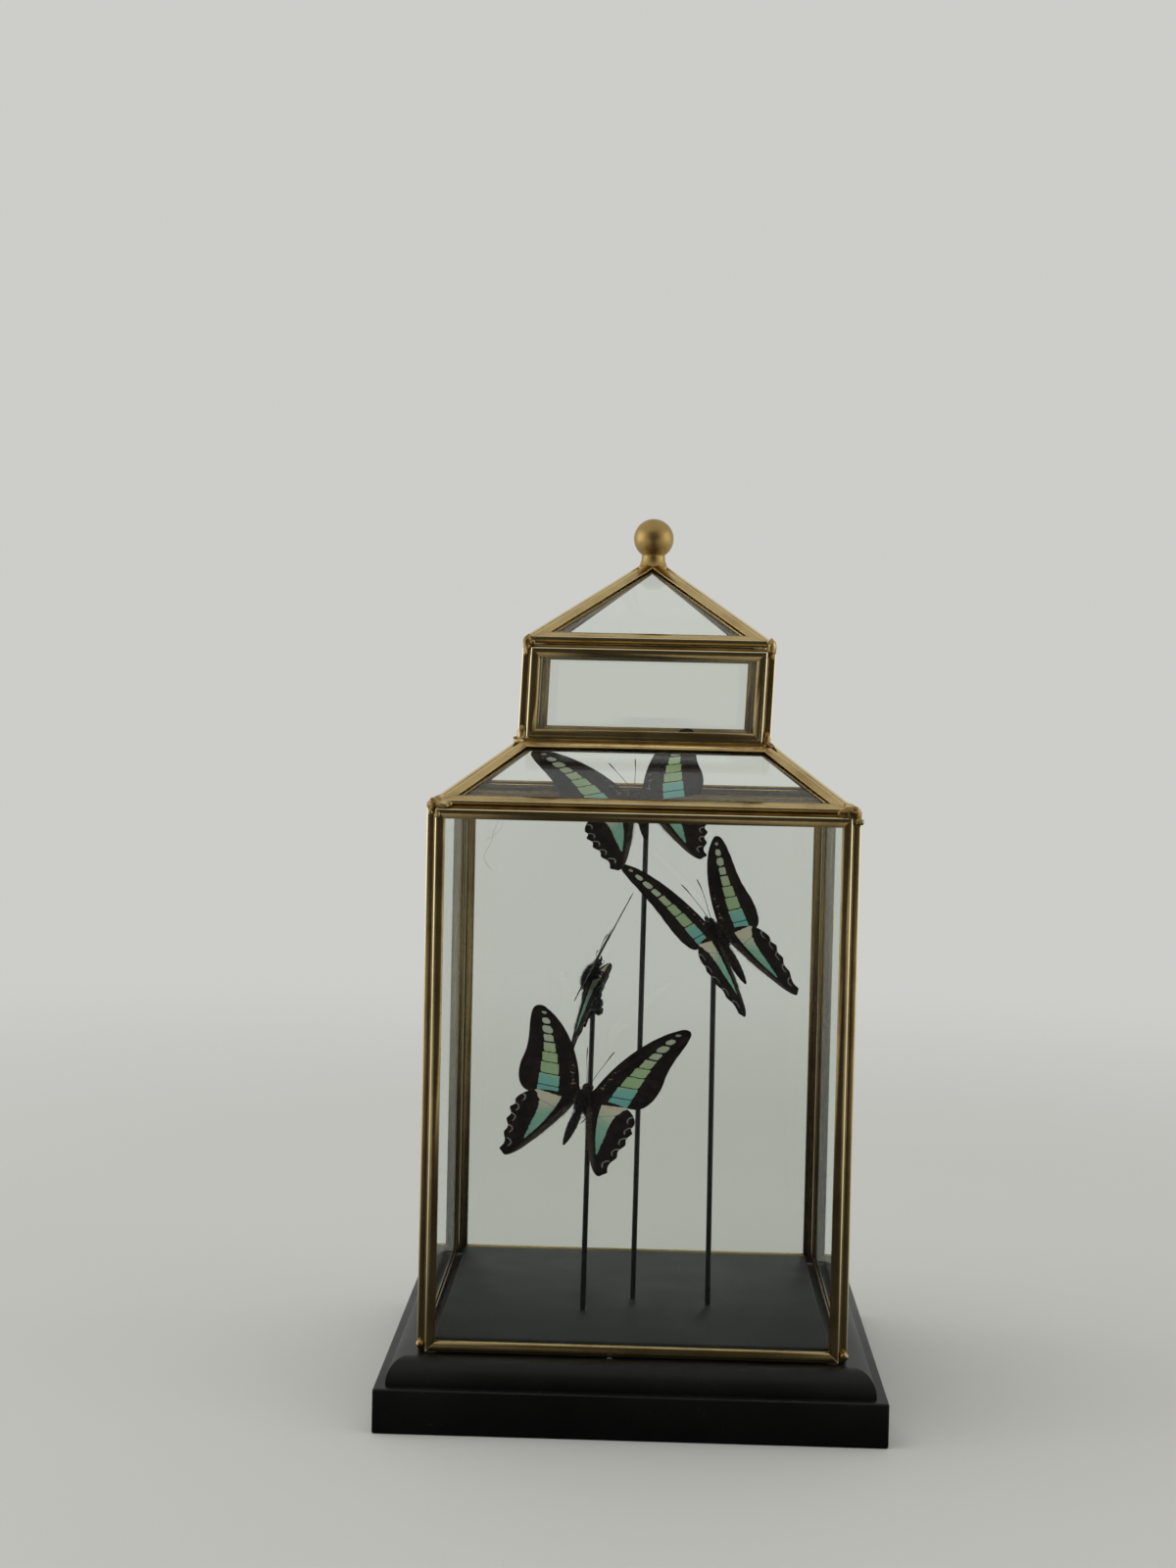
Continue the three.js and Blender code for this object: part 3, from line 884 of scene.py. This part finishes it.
def make_case(brass):
    upright_glass = glass_finish("clear_pane_glass", GLASS_IOR)
    sloping_glass = glass_finish("clear_roof_glass", ROOF_GLASS_IOR)
    for name, foot, half, top_half, length, slope, lean in case_tiers():
        closed_top = top_half < CHANNEL_FACE
        base = [Vector((-half, 0)), Vector((half, 0))]
        if closed_top:
            top = [Vector((0, length * half / (half - top_half)))]
        else:
            top = [Vector((top_half, length)), Vector((-top_half, length))]
        corners = inset(base + top, EDGE_RELIEF)
        for side, quarter in zip(SIDES, QUARTERS):
            bars = frame_bars(corners)
            if closed_top:
                cut_off(bars, (0, length - EDGE_RELIEF, 0), (0, 1, 0), fill=False)
                bmesh.ops.holes_fill(bars, edges=bars.edges)
            in_front = Matrix.Translation((0, -half, foot)) @ Matrix.Rotation(slope, 4, "X")
            bars.transform(lean @ quarter @ in_front)
            replaced = [f"{name}_frame_{side}"]
            new_piece(f"{name}_channels_{side}", bars, [brass], replaced, 40)
            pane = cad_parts[f"{name}_pane_{side}"]
            pane.data.materials.clear()
            pane.data.materials.append(upright_glass if slope == QUARTER_TURN else sloping_glass)


def corner_lumps(name, finish, lumps, lean=Matrix()):
    """The same lumps, each a little different, run together at all four corners of the case."""
    whole = bmesh.new()
    for quarter in QUARTERS:
        for centre, radii in lumps:
            shake = Vector(random.uniform(-0.2, 0.2, 3))
            swell = random.uniform(0.9, 1.1)
            patch = lump(Vector(centre) + shake, [r * swell for r in radii], 0.2)
            add_part(whole, patch, lean @ quarter)
    piece = new_piece(name, whole, [finish])
    run_together(piece, LUMP_VOXEL)


def make_solder(finish):
    """Patches and beads of solder in the notches where the frames' corners meet."""
    notch = BODY_HALF + CHANNEL_THICKNESS / 2
    outer = BODY_HALF + CHANNEL_THICKNESS
    eave = BODY_TOP
    corner_lumps("eave_solder", finish, (
        ((-notch + 1.7, -notch + 1.7, eave + 0.6), (3.1, 3.1, 3.3)),
        ((-notch + 3.0, -notch + 3.0, eave + 2.3), (2.7, 2.7, 2.3)),
        ((-notch + 4.0, -outer + 1.6, eave + 0.9), (3.0, 1.7, 1.7)),
        ((-outer + 1.6, -notch + 4.0, eave + 0.9), (1.7, 3.0, 1.7)),
        ((-notch + 6.6, -outer + 1.1, eave + 1.6), (1.0, 0.9, 1.0)),
        ((-notch + 0.1, -outer + 0.1, eave - 1.6), (1.0, 1.0, 1.1)),
        ((-notch + 2.5, -outer + 0.5, eave - 2.2), (1.2, 0.7, 2.2)),
    ))
    notch = NECK_HALF + CHANNEL_THICKNESS / 2
    outer = NECK_HALF + CHANNEL_THICKNESS
    corner_lumps("neck_foot_solder", finish, (
        ((-notch + 0.2, -notch + 0.2, NECK_BOTTOM + 1.6), (1.75, 1.75, 3.0)),
        ((-notch - 0.6, -notch - 0.6, NECK_BOTTOM - 0.7), (2.2, 2.2, 1.3)),
        ((-notch + 2.1, -outer + 0.1, NECK_BOTTOM + 0.3), (0.8, 0.6, 0.7)),
        ((-outer - 0.8, -notch + 0.2, NECK_BOTTOM + 0.2), (0.9, 0.6, 0.6)),
    ), neck_lean())
    corner_lumps("neck_top_solder", finish, (
        ((-notch + 0.4, -notch + 0.4, NECK_TOP + 1.1), (1.8, 1.8, 3.4)),
        ((-notch + 2.3, -outer + 0.5, PEAK_BOTTOM + 0.6), (1.0, 0.7, 0.9)),
        ((-notch - 0.3, -notch - 0.3, NECK_TOP - 2.2), (0.8, 0.8, 0.9)),
        ((-notch + 5.0, -outer, NECK_TOP - CHANNEL_FACE), (0.5, 0.35, 0.5)),
    ), neck_lean())
    notch = BODY_HALF + CHANNEL_THICKNESS / 2
    foot = BOARD_TOP + FIT_GAP
    corner_lumps("foot_solder", finish, (
        ((-notch, -notch, foot + 2.5), (1.6, 1.6, 1.8)),
        ((-notch + 0.5, -notch + 0.5, foot + 1.2), (1.3, 1.3, 1.2)),
    ))


def make_seams(finish):
    """Lines of solder that close the joints between neighbouring frames."""
    whole = bmesh.new()
    for name, foot, half, top_half, length, slope, lean in case_tiers():
        top = foot + length * math.sin(slope)
        lines = [((-half, -half, foot), (-top_half, -top_half, top), CORNER_SEAM)]
        if name in ("body", "neck"):
            groove = half + 2 * EAVE_SEAM
            level = top + EAVE_SEAM * 0.5
            lines.append(((-groove, -groove, level), (groove, -groove, level), EAVE_SEAM))
        if name == "neck":
            outer = half + CHANNEL_THICKNESS
            level = foot - FIT_GAP / 2
            lines.append(((-outer, -outer, level), (outer, -outer, level), EAVE_SEAM))
        for quarter in QUARTERS:
            for start, end, radius in lines:
                points = [Vector(start).lerp(Vector(end), share) for share in np.linspace(0, 1, 9)]
                line = strand(points, radius * random.uniform(0.9, 1.1, 9), 2)
                add_part(whole, line, lean @ quarter)
    new_piece("brazed_seams", whole, [finish])


def make_finial(finish, solder):
    """Ball on a short hollowed neck that the solder draws out over the peak."""
    foot = PEAK_BOTTOM + (PEAK_HALF - PEAK_TIP_HALF) * math.tan(PEAK_SLOPE)
    apex = foot + CHANNEL_THICKNESS * math.cos(PEAK_SLOPE)
    waist = 4.3
    first = math.asin(waist / BALL_RADIUS)
    waist_height = BALL_CENTRE - BALL_RADIUS * math.cos(first)
    profile = [(0, foot - 0.5), (3.2, foot), (5.6, apex - 1.6)]
    pulls = ((5.6, apex - 1.6), (4.9, apex), (waist, apex + 0.8), (waist, waist_height))
    skirt = interpolate_bezier(*[Vector(pull) for pull in pulls], 10)
    profile += [(p.x, p.y) for p in skirt[1:]]
    for step in range(1, 29):
        angle = first + (math.pi - first) * step / 28
        radius = BALL_RADIUS * math.sin(angle) if step < 28 else 0
        profile.append((radius, BALL_CENTRE - BALL_RADIUS * math.cos(angle)))
    ball = turned(profile, 48, (BALL_OFFSET, 0, 0))
    new_piece("finial_ball", ball, [finish], ["finial"], 60)
    whole = bmesh.new()
    for quarter in QUARTERS:
        for centre, radii in (
            ((-3.4, -3.4, apex - 1.5), (1.9, 1.9, 1.0)),
            ((0, -3.6, apex - 0.4), (1.8, 1.1, 0.9)),
        ):
            shake = Vector(random.uniform(-0.4, 0.4, 3))
            add_part(whole, lump(Vector(centre) + shake, radii), quarter)
    whole.transform(Matrix.Translation((BALL_OFFSET, 0, 0)))
    piece = new_piece("finial_solder", whole, [solder])
    run_together(piece, FINIAL_VOXEL)


# Insects
def trace(start, *strokes):
    """Points along an outline of lines, bows and curves: an end after no pull, one pull or two."""
    points = [Vector(start)]
    for stroke in strokes:
        last = points[-1]
        *pulls, end = [Vector(p) for p in stroke]
        if not pulls:
            points.append(end)
            continue
        if len(pulls) == 1:
            pulls = [last.lerp(pulls[0], 2 / 3), end.lerp(pulls[0], 2 / 3)]
        points += interpolate_bezier(last, *pulls, end, 14)[1:]
    return points


def rounded_off(points, times):
    """An outline with its sharp points worn round."""
    for _ in range(times):
        around = zip([points[-1]] + points[:-1], points, points[1:] + [points[0]])
        points = [(before + 2 * point + after) / 4 for before, point, after in around]
    return points


def forewing_outline():
    return trace(
        (1.5, 3),
        [(3.2, 5.6)],
        [(6.5, 16.5), (15.5, 31.5), (27.6, 37.5)],
        [(29.8, 38.4), (32.2, 37.6), (31.8, 34.5)],
        [(31.4, 28.5), (27.6, 22), (27.6, 13.5)],
        [(28, 5.5), (25, -1.2), (20.5, -1.9)],
        [(15, -1.8), (8, -0.6), (1.5, -0.5)],
    )


def hindwing_outline():
    teeth = ((24.1, -8), (24.4, -12.3), (23.6, -17.6), (22.3, -23.5), (20.9, -30.8))
    scallop = 1.8
    strokes = [[(8, 1.2), (19, 0), (22, -4.6)], [teeth[0]]]
    for (x0, y0), (x1, y1) in zip(teeth, teeth[1:]):
        strokes.append([((x0 + x1) / 2 - 2 * scallop, (y0 + y1) / 2), (x1, y1)])
    strokes += [
        [(19.6, -31), (18, -32.8)],
        [(15.6, -32), (13.2, -28)],
        [(9.5, -21.8), (6, -13), (3.2, -5)],
        [(1.5, -3)],
    ]
    return rounded_off(trace((1.5, 0.5), *strokes), 6)


def wing_lift(x, y):
    """How far a point of the wing stands above its plane: a shallow arch with ribs between the veins."""
    span = min(max(x / 30, 0), 1)
    arch = 1.1 * span * (1 - span)
    ribs = 0.07 * math.sin(y * 2 * math.pi / 4.7 + x * 0.25) * span
    curl = 0.5 * span * span * noise.noise(Vector((x * 0.07, y * 0.07, 3.1)))
    return arch + ribs + curl


def keep_flat_places(bm):
    """Keeps each corner's place in the wing's plane as the UV map that the markings follow."""
    plane = bm.loops.layers.uv.new("wing_plane")
    for corner in (loop for side in bm.faces for loop in side.loops):
        corner[plane].uv = corner.vert.co.xy


def wing_sheet(outline, upper, under):
    """A thin wing with its upper and under finishes by index."""
    bm = bmesh.new()
    bm.faces.new([bm.verts.new((p.x, p.y, 0)) for p in outline])
    bmesh.ops.remove_doubles(bm, verts=bm.verts, dist=0.02)
    for outward in (Vector((1, 0, 0)), Vector((0, 1, 0))):
        places = [v.co.dot(outward) for v in bm.verts]
        for line in np.arange(min(places) + 0.6, max(places) - 0.3, WING_GRID):
            bmesh.ops.bisect_plane(
                bm, geom=all_of(bm), dist=1e-4, plane_co=outward * line, plane_no=outward)
    bmesh.ops.recalc_face_normals(bm, faces=bm.faces)
    if bm.faces[:][0].normal.z < 0:
        bmesh.ops.reverse_faces(bm, faces=bm.faces)
    bmesh.ops.solidify(bm, geom=bm.faces[:], thickness=WING_SHEET)
    keep_flat_places(bm)
    bm.normal_update()
    for side in bm.faces:
        side.material_index = upper if side.normal.z > -0.5 else under
    for vert in bm.verts:
        vert.co.z += wing_lift(vert.co.x, vert.co.y)
    return bm


def wing_place_matrix(root, sweep, dihedral, drop, side):
    turn = Matrix.Translation(root) @ Matrix.Rotation(sweep, 4, "Z") @ Matrix.Translation(-root)
    raise_wing = Matrix.Rotation(-dihedral, 4, "Y") @ Matrix.Translation((0, 0, -drop))
    mirror = Matrix.Scale(side, 4, (1, 0, 0))
    return mirror @ raise_wing @ turn


def fore_place(specimen, side):
    return wing_place_matrix(FOREWING_ROOT, specimen["fore"], specimen["fore_dihedral"], 0, side)


def hind_place(specimen, side):
    sweep = specimen["right_hind" if side > 0 else "left_hind"]
    return wing_place_matrix(HINDWING_ROOT, sweep, specimen["hind_dihedral"], HINDWING_DROP, side)


def insect_place(specimen):
    ahead = Vector(specimen["head"]).normalized()
    right = ahead.cross(Vector(specimen["back"])).normalized()
    up = right.cross(ahead)
    turn = Matrix((right, ahead, up)).transposed()
    return Matrix.LocRotScale(Vector(specimen["thorax"]), turn, None)


FORE_VEINS = (
    ((3.2, 4.6), (9, 15.5), (16.5, 26), (27.5, 36.6)),
    ((6.5, 8), (13, 17.5), (20, 25.5), (30.6, 35.4)),
    ((11, 13), (16.5, 20.5), (23.5, 26.3), (31, 31.6)),
    ((13.5, 16.5), (18.5, 21.5), (24, 23.3), (29.4, 24.6)),
    ((13.8, 15.4), (18, 17.1), (23, 17.9), (27.9, 18.6)),
    ((11.5, 11), (16, 12.4), (22, 12.8), (27.4, 13)),
    ((9, 7.6), (14, 7.6), (20.5, 7.1), (27.2, 6.6)),
    ((5, 4.2), (11, 3), (18, 1.9), (25.2, 1.4)),
    ((3, 3), (8, 6.2), (12, 10.5), (14.5, 16.2)),
)
HIND_VEINS = (
    ((3, -1.2), (9, -1.7), (15, -2.4), (21.4, -5.2)),
    ((4, -2.4), (10, -5.2), (16.5, -7), (23.5, -8.6)),
    ((5, -3.4), (11, -8.4), (17.5, -10.8), (23.8, -12.4)),
    ((6, -5), (11.5, -11.4), (17, -15), (23, -17.6)),
    ((6.6, -7), (11.4, -14.4), (16.4, -19.6), (21.8, -23.4)),
    ((6.8, -9), (11.2, -17.2), (15.4, -24), (20.2, -30)),
    ((5.2, -6), (8.4, -13.4), (12, -21.6), (16.2, -30)),
)


def wing_veins(routes, upper):
    """Raised veins on the wing's upper side."""
    whole = bmesh.new()
    for route in routes:
        points = [(x, y, wing_lift(x, y) + 0.02) for x, y in route]
        vein = strand(points, np.linspace(0.17, 0.06, len(points)), 1)
        keep_flat_places(vein)
        for side in vein.faces:
            side.material_index = upper
        add_part(whole, vein)
    return whole


def make_wings(name, specimen, finishes):
    whole = bmesh.new()
    whole.loops.layers.uv.new("wing_plane")
    place = insect_place(specimen)
    for side in (1, -1):
        fore = fore_place(specimen, side)
        hind = hind_place(specimen, side)
        add_part(whole, wing_sheet(forewing_outline(), 0, 1), place @ fore)
        add_part(whole, wing_veins(FORE_VEINS, 0), place @ fore)
        add_part(whole, wing_sheet(hindwing_outline(), 2, 3), place @ hind)
        add_part(whole, wing_veins(HIND_VEINS, 2), place @ hind)
    new_piece(f"wings_{name}", whole, finishes, [f"butterfly_{name}"], 60)


def turn_at(point, axis, angle):
    return Matrix.Translation(point) @ Matrix.Rotation(angle, 4, axis) @ Matrix.Translation(-point)


def abdomen_turn(specimen):
    """The abdomen's turn sideways and droop at its joint with the thorax."""
    sideways = turn_at(ABDOMEN_JOINT, "Z", specimen["sideways"])
    return sideways @ turn_at(ABDOMEN_JOINT, "X", specimen["droop"])


def body_lump(centre, radii, rings=0.0):
    """A body part; rings pinches it into segments and tapers its rear end."""
    bm = bmesh.new()
    bmesh.ops.create_uvsphere(bm, u_segments=28, v_segments=40, radius=1)
    bmesh.ops.rotate(bm, matrix=Matrix.Rotation(QUARTER_TURN, 3, "X"), verts=bm.verts)
    for vert in bm.verts:
        x, y, z = vert.co
        pinch = 1 + rings * math.cos(y * 2 * math.pi / 0.24)
        skin = 1 + 0.04 * noise.noise(vert.co * 3 + Vector(centre))
        taper = 1 - 0.25 * max(0, -y) if rings else 1
        girth = pinch * skin * taper
        vert.co = (
            centre[0] + radii[0] * x * girth,
            centre[1] + radii[1] * y,
            centre[2] + radii[2] * z * girth,
        )
    return bm


def make_body(name, specimen, finishes):
    """Head, thorax, ringed abdomen, eyes, clubbed antennae, curled tongue and folded legs."""
    whole = bmesh.new()
    add_part(whole, body_lump(*THORAX))
    add_part(whole, body_lump(*HEAD))
    add_part(whole, body_lump(*ABDOMEN, rings=0.05), abdomen_turn(specimen))
    for side in (1, -1):
        mirror = Matrix.Scale(side, 4, (1, 0, 0))
        eye = body_lump(*EYE)
        for facet in eye.faces:
            facet.material_index = 1
        add_part(whole, eye, mirror)
        palp = strand([(0.5, 6.9, -1.2), (0.6, 8.1, -0.9), (0.45, 8.9, -0.3)], (0.35, 0.4, 0.1))
        add_part(whole, palp, mirror)
        feeler = strand(
            [(0.7, 7, 0.3), (1.9, 11.5, 1.0), (3.7, 17, 1.6), (4.6, 20.4, 1.7), (5.2, 22.6, 1.5)],
            (0.13, 0.1, 0.1, 0.22, 0.17), 2)
        add_part(whole, feeler, mirror @ turn_at(FEELER_BASE, "Z", -specimen["feelers"]))
        for y in (3, 0.5, -2):
            leg = strand(
                [(1, y, -2.4), (2.4, y - 0.4, -4.6), (1.6, y - 2.6, -5.4), (0.9, y - 5, -4.9)],
                (0.4, 0.34, 0.22, 0.12), 2)
            add_part(whole, leg, mirror)
    tongue = [(0, 7.0 + 0.7 * math.cos(a), -1.9 + 0.7 * math.sin(a)) for a in np.linspace(1.5, 8.5, 12)]
    add_part(whole, strand(tongue, np.linspace(0.14, 0.08, 12), 1))
    whole.transform(insect_place(specimen))
    new_piece(f"body_{name}", whole, finishes, (), 70)


def hair_piece(name, tufts, width, finish):
    """Fine tapered hairs from tufts of roots and tips, each hair bent a little towards its tip."""
    roots, tips = [np.concatenate(ends) for ends in zip(*tufts)]
    count = len(roots)
    lean = tips - roots
    side = np.cross(lean, (0.3, 0.5, 0.8))
    side /= np.linalg.norm(side, axis=1)[:, None]
    other = np.cross(lean, side)
    other /= np.linalg.norm(other, axis=1)[:, None]
    middle = roots + lean * 0.55 + other * np.linalg.norm(lean, axis=1)[:, None] * 0.09
    rings = []
    for centre, size in ((roots, width), (middle, width * 0.75)):
        for angle in (0, 2 * math.pi / 3, 4 * math.pi / 3):
            rings.append(centre + (side * math.cos(angle) + other * math.sin(angle)) * size)
    points = np.stack(rings + [tips], axis=1).reshape(-1, 3) * MILLIMETRE
    pattern = [(2, 1, 0)]
    for i in range(3):
        j = (i + 1) % 3
        pattern += [(i, j, 3 + j), (i, 3 + j, 3 + i), (3 + i, 3 + j, 6)]
    faces = (np.arange(count)[:, None, None] * 7 + np.array(pattern)[None]).reshape(-1, 3)
    mesh = bpy.data.meshes.new(name)
    mesh.from_pydata(points.tolist(), [], faces.tolist())
    mesh.materials.append(finish)
    mesh.shade_smooth()
    piece = in_scene(name, mesh)
    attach(piece, "root")


def place_all(place, points):
    turn = np.array(place.to_3x3())
    return points @ turn.T + np.array(place.translation)


def skin_hairs(place, centre, radii, count, length):
    """Roots and tips of hairs that lie back over a body part."""
    way = random.normal(size=(count, 3))
    way /= np.linalg.norm(way, axis=1)[:, None]
    roots = np.array(centre) + way * np.array(radii) * 0.97
    reach = length * random.uniform(0.6, 1.2, (count, 1))
    lean = way * 0.75 + np.array((0, -0.75, 0.1)) + random.normal(scale=0.18, size=(count, 3))
    lean /= np.linalg.norm(lean, axis=1)[:, None]
    return place_all(place, roots), place_all(place, roots + lean * reach)


def fold_hairs(place, count):
    """Roots and tips of the long hairs along a hindwing's inner edge."""
    share = random.uniform(0.04, 1, (count, 1))
    bow = share * (1 - share) * np.array((-1.4, -0.6, 0))
    edge = np.array((3.4, -4.6, 0)) + share * np.array((6.4, -17.0, 0)) + bow
    inwards = random.uniform(0, 2.2, (count, 1)) * np.array((0.93, 0.36, 0))
    lift = random.uniform(0.05, 0.5, (count, 1)) * np.array((0, 0, 1))
    roots = edge + inwards + lift
    reach = random.uniform(0.8, 2.4, (count, 1)) * (1.15 - share * 0.6)
    lean = np.array((-0.35, -0.9, 0.1)) + random.normal(scale=0.26, size=(count, 3))
    tips = roots + lean * reach
    return place_all(place, roots), place_all(place, tips)


def make_hair(name, specimen, body_hair, fold_hair):
    place = insect_place(specimen)
    abdomen = place @ abdomen_turn(specimen)
    tufts = [
        skin_hairs(place, *THORAX, count=2300, length=1.5),
        skin_hairs(place, *HEAD, count=350, length=1.0),
        skin_hairs(abdomen, *ABDOMEN_FRONT, count=400, length=0.9),
    ]
    hair_piece(f"hair_{name}", tufts, BODY_HAIR_WIDTH, body_hair)
    tufts = [fold_hairs(place @ hind_place(specimen, side), FOLD_HAIRS) for side in (1, -1)]
    hair_piece(f"fold_hair_{name}", tufts, FOLD_HAIR_WIDTH, fold_hair)


def make_rod(name, specimen, finish):
    """A straight rod from the floor panel to the thorax, with glue run down from its top."""
    place = insect_place(specimen)
    grip = place @ Vector(specimen["grip"])
    foot = Vector((*specimen["foot"], FLOOR_TOP - ROD_DEPTH))
    shaft = bmesh.new()
    lean = (grip - foot).to_track_quat("Z", "Y").to_matrix().to_4x4()
    bmesh.ops.create_cone(
        shaft, cap_ends=True, segments=24, radius1=ROD_RADIUS, radius2=ROD_RADIUS,
        depth=(grip - foot).length, matrix=Matrix.Translation((grip + foot) / 2) @ lean)
    new_piece(f"rod_shaft_{name}", shaft, [finish], [f"rod_{name}"], 50)
    down = (foot - grip).normalized()
    glue = bmesh.new()
    for drip in range(3):
        shake = Vector(random.uniform(-0.8, 0.8, 3))
        centre = grip + down * (0.6 + 1.9 * drip) + shake * (0.7 if drip else 0.4)
        size = 1.7 - 0.25 * drip
        add_part(glue, lump(centre, (size, size, size * 1.35), 0.25))
    for drop in specimen["drops"]:
        add_part(glue, lump(place @ Vector(drop), (1.7, 1.5, 2.0), 0.35))
    foot_ring = lump((foot.x, foot.y, FLOOR_TOP), (1.55, 1.55, 0.5), 0.1)
    add_part(glue, foot_ring)
    piece = new_piece(f"rod_glue_{name}", glue, [finish])
    run_together(piece, LUMP_VOXEL)


def make_specimens():
    wing_finishes = [
        forewing_top_finish(), forewing_under_finish(), hindwing_top_finish(), hindwing_under_finish(),
    ]
    body_finishes = [body_finish(), eye_finish()]
    body_hair = hair_finish("body_hair", "2c251e", "746859")
    fold_hair = hair_finish("fold_hair", "4f473e", "8f8476")
    rod = rod_finish()
    for name, specimen in SPECIMENS.items():
        make_wings(name, specimen, wing_finishes)
        make_body(name, specimen, body_finishes)
        make_hair(name, specimen, body_hair, fold_hair)
        make_rod(name, specimen, rod)


# Stray fibres on the front pane and lint in front of it
FIBRE_RADIUS = 0.04
FIBRES = (
    ((-48.5, 210.8), (-48.8, 208.6), (-50.6, 206.6), (-52.1, 205.1), (-54.2, 204.2)),
    (
        (-50, 210.7), (-51.3, 207.7), (-52.7, 202.5), (-54.1, 200.3), (-54.7, 197.9), (-54.1, 196.2),
        (-51.7, 193.6),
    ),
)


def make_fibres(finish):
    outside = -(BODY_HALF + (CHANNEL_THICKNESS + GLASS_THICKNESS) / 2 + 0.1)
    whole = bmesh.new()
    for route in FIBRES:
        points = [(x, outside, z) for x, z in route]
        add_part(whole, strand(points, [FIBRE_RADIUS] * len(points), 1))
    new_piece("fibre_on_pane", whole, [finish])
    lint = strand([(-8.4, -76.2, 24.9), (-7.5, -75.9, 25.1), (-6.6, -76.3, 24.9)], (0.15, 0.3, 0.12), 2)
    new_piece("lint_on_board", lint, [finish])


# Stage and light
WALL = (0.61, 0.61, 0.59, 1)
# colour of the floor's painted dark reflection in front of the case
PAINTED_DARK_REFLECTION = (0.04, 0.04, 0.04, 1)
FLOOR_RADIUS = 20000


def make_stage_piece(name, bm, material):
    piece = in_scene(name, finished_mesh(name, bm, [material]))
    return piece


def make_floor():
    """A plain pale floor that fades into the wall. In reflections the floor in front shows a painted dark
    reflection, so the front panes stay clear.
    """
    bm = bmesh.new()
    bmesh.ops.create_circle(bm, cap_ends=True, segments=96, radius=FLOOR_RADIUS)
    floor = Finish("pale_floor")
    place = floor.place()
    tone = place.clouds(0.4, 2)
    material = floor.dress(Base_Color=tone.mix("cdcdc9", "c7c7c3"), Roughness=0.8)
    near = Wire(floor.tree, floor.tree.nodes["Principled BSDF"].outputs[0])
    wall = floor.node("Emission", None, {"Color": WALL})
    distance = floor.node("VectorMath", {"operation": "LENGTH"}, {0: place}, 1)
    lit = floor.node("MixShader", None, {0: distance.rising(0.3, 1.25), 1: near, 2: wall})
    across = floor.node("SeparateXYZ", None, {0: place})
    # painted reflection: in reflections the floor in front is painted dark, and to the sides it keeps the
    # wall's colour
    aside = abs(across).rising(0.1, 0.45).most(across.also(1).rising(-0.1, 0.2))
    dark = floor.node("Emission", None, {"Color": aside.mix(PAINTED_DARK_REFLECTION, WALL)})
    mirrored = floor.node("LightPath", output="Glossy Depth")
    look = floor.node("MixShader", None, {0: mirrored.least(1), 1: lit, 2: dark})
    floor.fill(floor.tree.nodes["Material Output"].inputs["Surface"], look)
    make_stage_piece("pale_floor", bm, material)


def make_card():
    """A dark card behind the camera that only reflections and soft light meet."""
    card = box_between((-1000, -1620, 0), (1000, -1600, 1800))
    dark = Finish("dark_card")
    tone = dark.place().clouds(0.3, 2)
    material = dark.dress(Base_Color=tone.mix("484640", "3d3b37"), Roughness=0.9)
    piece = make_stage_piece("dark_card", card, material)
    piece.visible_camera = False
    piece.visible_transmission = False


def make_world():
    """A soft pale room."""
    world = bpy.data.worlds.new("soft_room")
    world.use_nodes = True
    world.node_tree.nodes["Background"].inputs["Color"].default_value = WALL
    bpy.context.scene.world = world


def make_light(name, place, target, size, power):
    data = bpy.data.lights.new(name, "AREA")
    data.shape = "RECTANGLE"
    data.size, data.size_y = size
    data.energy = power
    light = in_scene(name, data)
    towards = Vector(target) - Vector(place)
    light.matrix_world = Matrix.LocRotScale(Vector(place), towards.to_track_quat("-Z", "Y"), None)
    return light


def make_lights():
    overhead = make_light("overhead_softbox", (-0.3, -0.2, 1.6), (0, 0, 0.15), (1.6, 1.6), 9)
    overhead.visible_glossy = False
    for name, x, power in (("left_softbox", -1.4, 4), ("right_softbox", 1.4, 3)):
        beside = make_light(name, (x, -0.1, 0.5), (0, 0, 0.3), (1.2, 1.0), power)
        beside.visible_camera = False
        beside.visible_transmission = False


make_camera()
bpy.context.scene.view_settings.view_transform = "Standard"
brass = brass_finish()
solder = solder_finish()
make_plinth(paint_finish(), floor_finish())
make_case(brass)
make_solder(solder)
make_seams(seam_finish())
make_finial(finial_finish(), solder)
make_specimens()
make_fibres(lint_finish())
make_floor()
make_card()
make_world()
make_lights()
